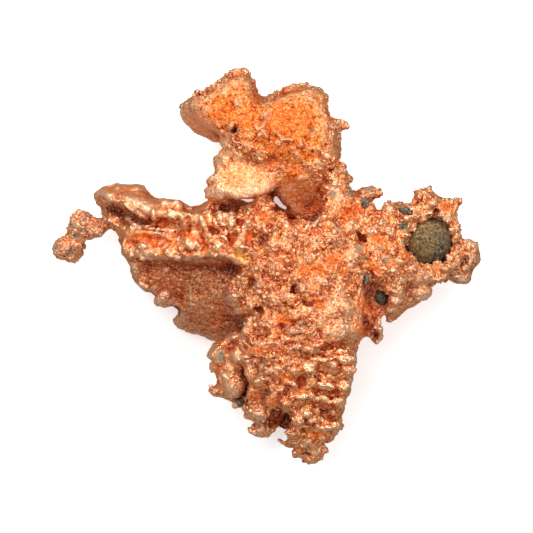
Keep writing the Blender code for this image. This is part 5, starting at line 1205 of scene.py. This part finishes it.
def pebble_surface(shift):
    """Round pebble with a crusty, scarred skin."""
    low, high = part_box("pebble")
    work = bmesh.new()
    bmesh.ops.create_icosphere(work, subdivisions=6, radius=1.0)
    mesh = finished(work, "pebble_surface")
    places = numbers(mesh.vertices, "co", 3)
    # How far each point faces the lamps, for the painted light
    store(mesh, weather=places @ np.array(PEBBLE_LIT_SIDE))
    radii = np.array((high - low) / 2.0 / MM)
    around = places * 4.3
    lumps = billows(around, 3.4, 61) * 0.25 + billows(around, 1.1, 71) * 0.14
    scars = np.clip(waves(around, 0.8, 81) - 0.35, 0.0, 1.0) * 0.4
    height = lumps + waves(around, 0.35, 75) * 0.05 - scars + PEBBLE_SWELL
    places = places * radii + places * height[:, None] + np.array((low + high) / 2.0 / MM - shift)
    mesh.vertices.foreach_set("co", places.ravel())
    mesh.shade_smooth()
    return link("pebble_surface", mesh)


def chip_surface(node_name, shift):
    """A chip with broken, grainy faces."""
    chip = link(node_name + "_surface", on_plan(node_name, shift))
    fuse(chip, CHIP_CELL)
    mesh = chip.data
    places, normals = vertices_of(mesh)
    height = (billows(places, 1.4, 87) * 0.6 + facets(places, 0.8, 91) * 0.2 + facets(places, 0.3, 95) * 0.06
              + CHIP_SWELL)
    mesh.vertices.foreach_set("co", (places + normals * height[:, None]).ravel())
    return chip


# Setting: floor, light and camera

def floor():
    """Plain pale floor under the nugget."""
    work = bmesh.new()
    bmesh.ops.create_grid(work, x_segments=1, y_segments=1, size=3.0)
    made = link("floor", finished(work, "floor"))
    paper, shader = plain_material("paper", (0.93, 0.93, 0.93), 0.9, 0.0)
    shader.inputs["Emission Color"].default_value = (1.0, 1.0, 1.0, 1.0)
    shader.inputs["Emission Strength"].default_value = 0.45
    made.data.materials.append(paper)
    made.visible_glossy = False


def lamp(name, place, size, power):
    """Square soft light that looks at the nugget."""
    light = bpy.data.lights.new(name, "AREA")
    light.size = size
    light.energy = power
    made = link(name, light)
    made.location = place
    made.rotation_euler = (-Vector(place)).to_track_quat("-Z", "Y").to_euler()


def lights():
    """Bright room, a large soft light from beyond the two-peaked arm, and smaller ones beside and above."""
    world = bpy.data.worlds.new("room")
    bpy.context.scene.world = world
    world.use_nodes = True
    world.node_tree.nodes["Background"].inputs["Color"].default_value = (1.0, 1.0, 1.0, 1.0)
    world.node_tree.nodes["Background"].inputs["Strength"].default_value = 0.43
    lamp("window_light", (-0.15, 0.85, 0.80), 0.66, 8.5)
    lamp("side_light", (0.75, 0.20, 0.80), 0.22, 3.2)
    lamp("top_light", (-0.38, 0.25, 1.55), 0.60, 8.0)


def camera(shift):
    """Camera straight above the nugget, with the two-peaked arm at the top of the picture."""
    lens = bpy.data.cameras.new("camera")
    lens.sensor_width = SENSOR_WIDTH
    lens.lens = SENSOR_WIDTH * (CAMERA_HEIGHT - WIDEST_LEVEL) / FRAME_WIDTH
    lens.clip_end = 10.0
    made = link("camera", lens)
    made.location = (shift.x * MM, shift.y * MM, CAMERA_HEIGHT * MM)
    bpy.context.scene.camera = made
    bpy.context.scene.view_settings.view_transform = "Standard"


def dress(item, shift, material, node_name):
    """Move a piece to the frame in its material, attach it to the root body and hide its CAD node."""
    to_frame(item, shift)
    item.data.materials.clear()
    item.data.materials.append(material)
    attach(item, "root")
    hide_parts(node_name)


clear_start()
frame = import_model()
shift = plan_shift()

copper = copper_material()
skin = copper_skin(shift)
paint(skin, hollowness(skin.data, *FINE_HOLLOWS), hollowness(skin.data, *BROAD_HOLLOWS))
skin.data.shade_smooth()
skin.data.set_sharp_from_angle(angle=math.radians(SHARP_EDGE))
crusts = []
for seed, (name, (count, outline)) in enumerate(CRUSTS.items()):
    grains, depth = crust(name, outline, count, skin.data, seed)
    # A grain's depth serves as its fine hollowness: painted shade at its foot, painted highlight on its tip,
    # and no broad hollowness
    paint(grains, depth, depth * 0.0)
    crusts.append(grains)
for piece in [skin] + crusts:
    dress(piece, shift, copper, "copper_nugget")

dress(pebble_surface(shift), shift, stone_material("pebble_stone", *PEBBLE_LOOK), "pebble")
rock = stone_material("matrix_stone", *MATRIX_LOOK)
for name in sorted(frame["nodes"]):
    if name.startswith("chip_"):
        dress(chip_surface(name, shift), shift, rock, name)

floor()
lights()
camera(shift)
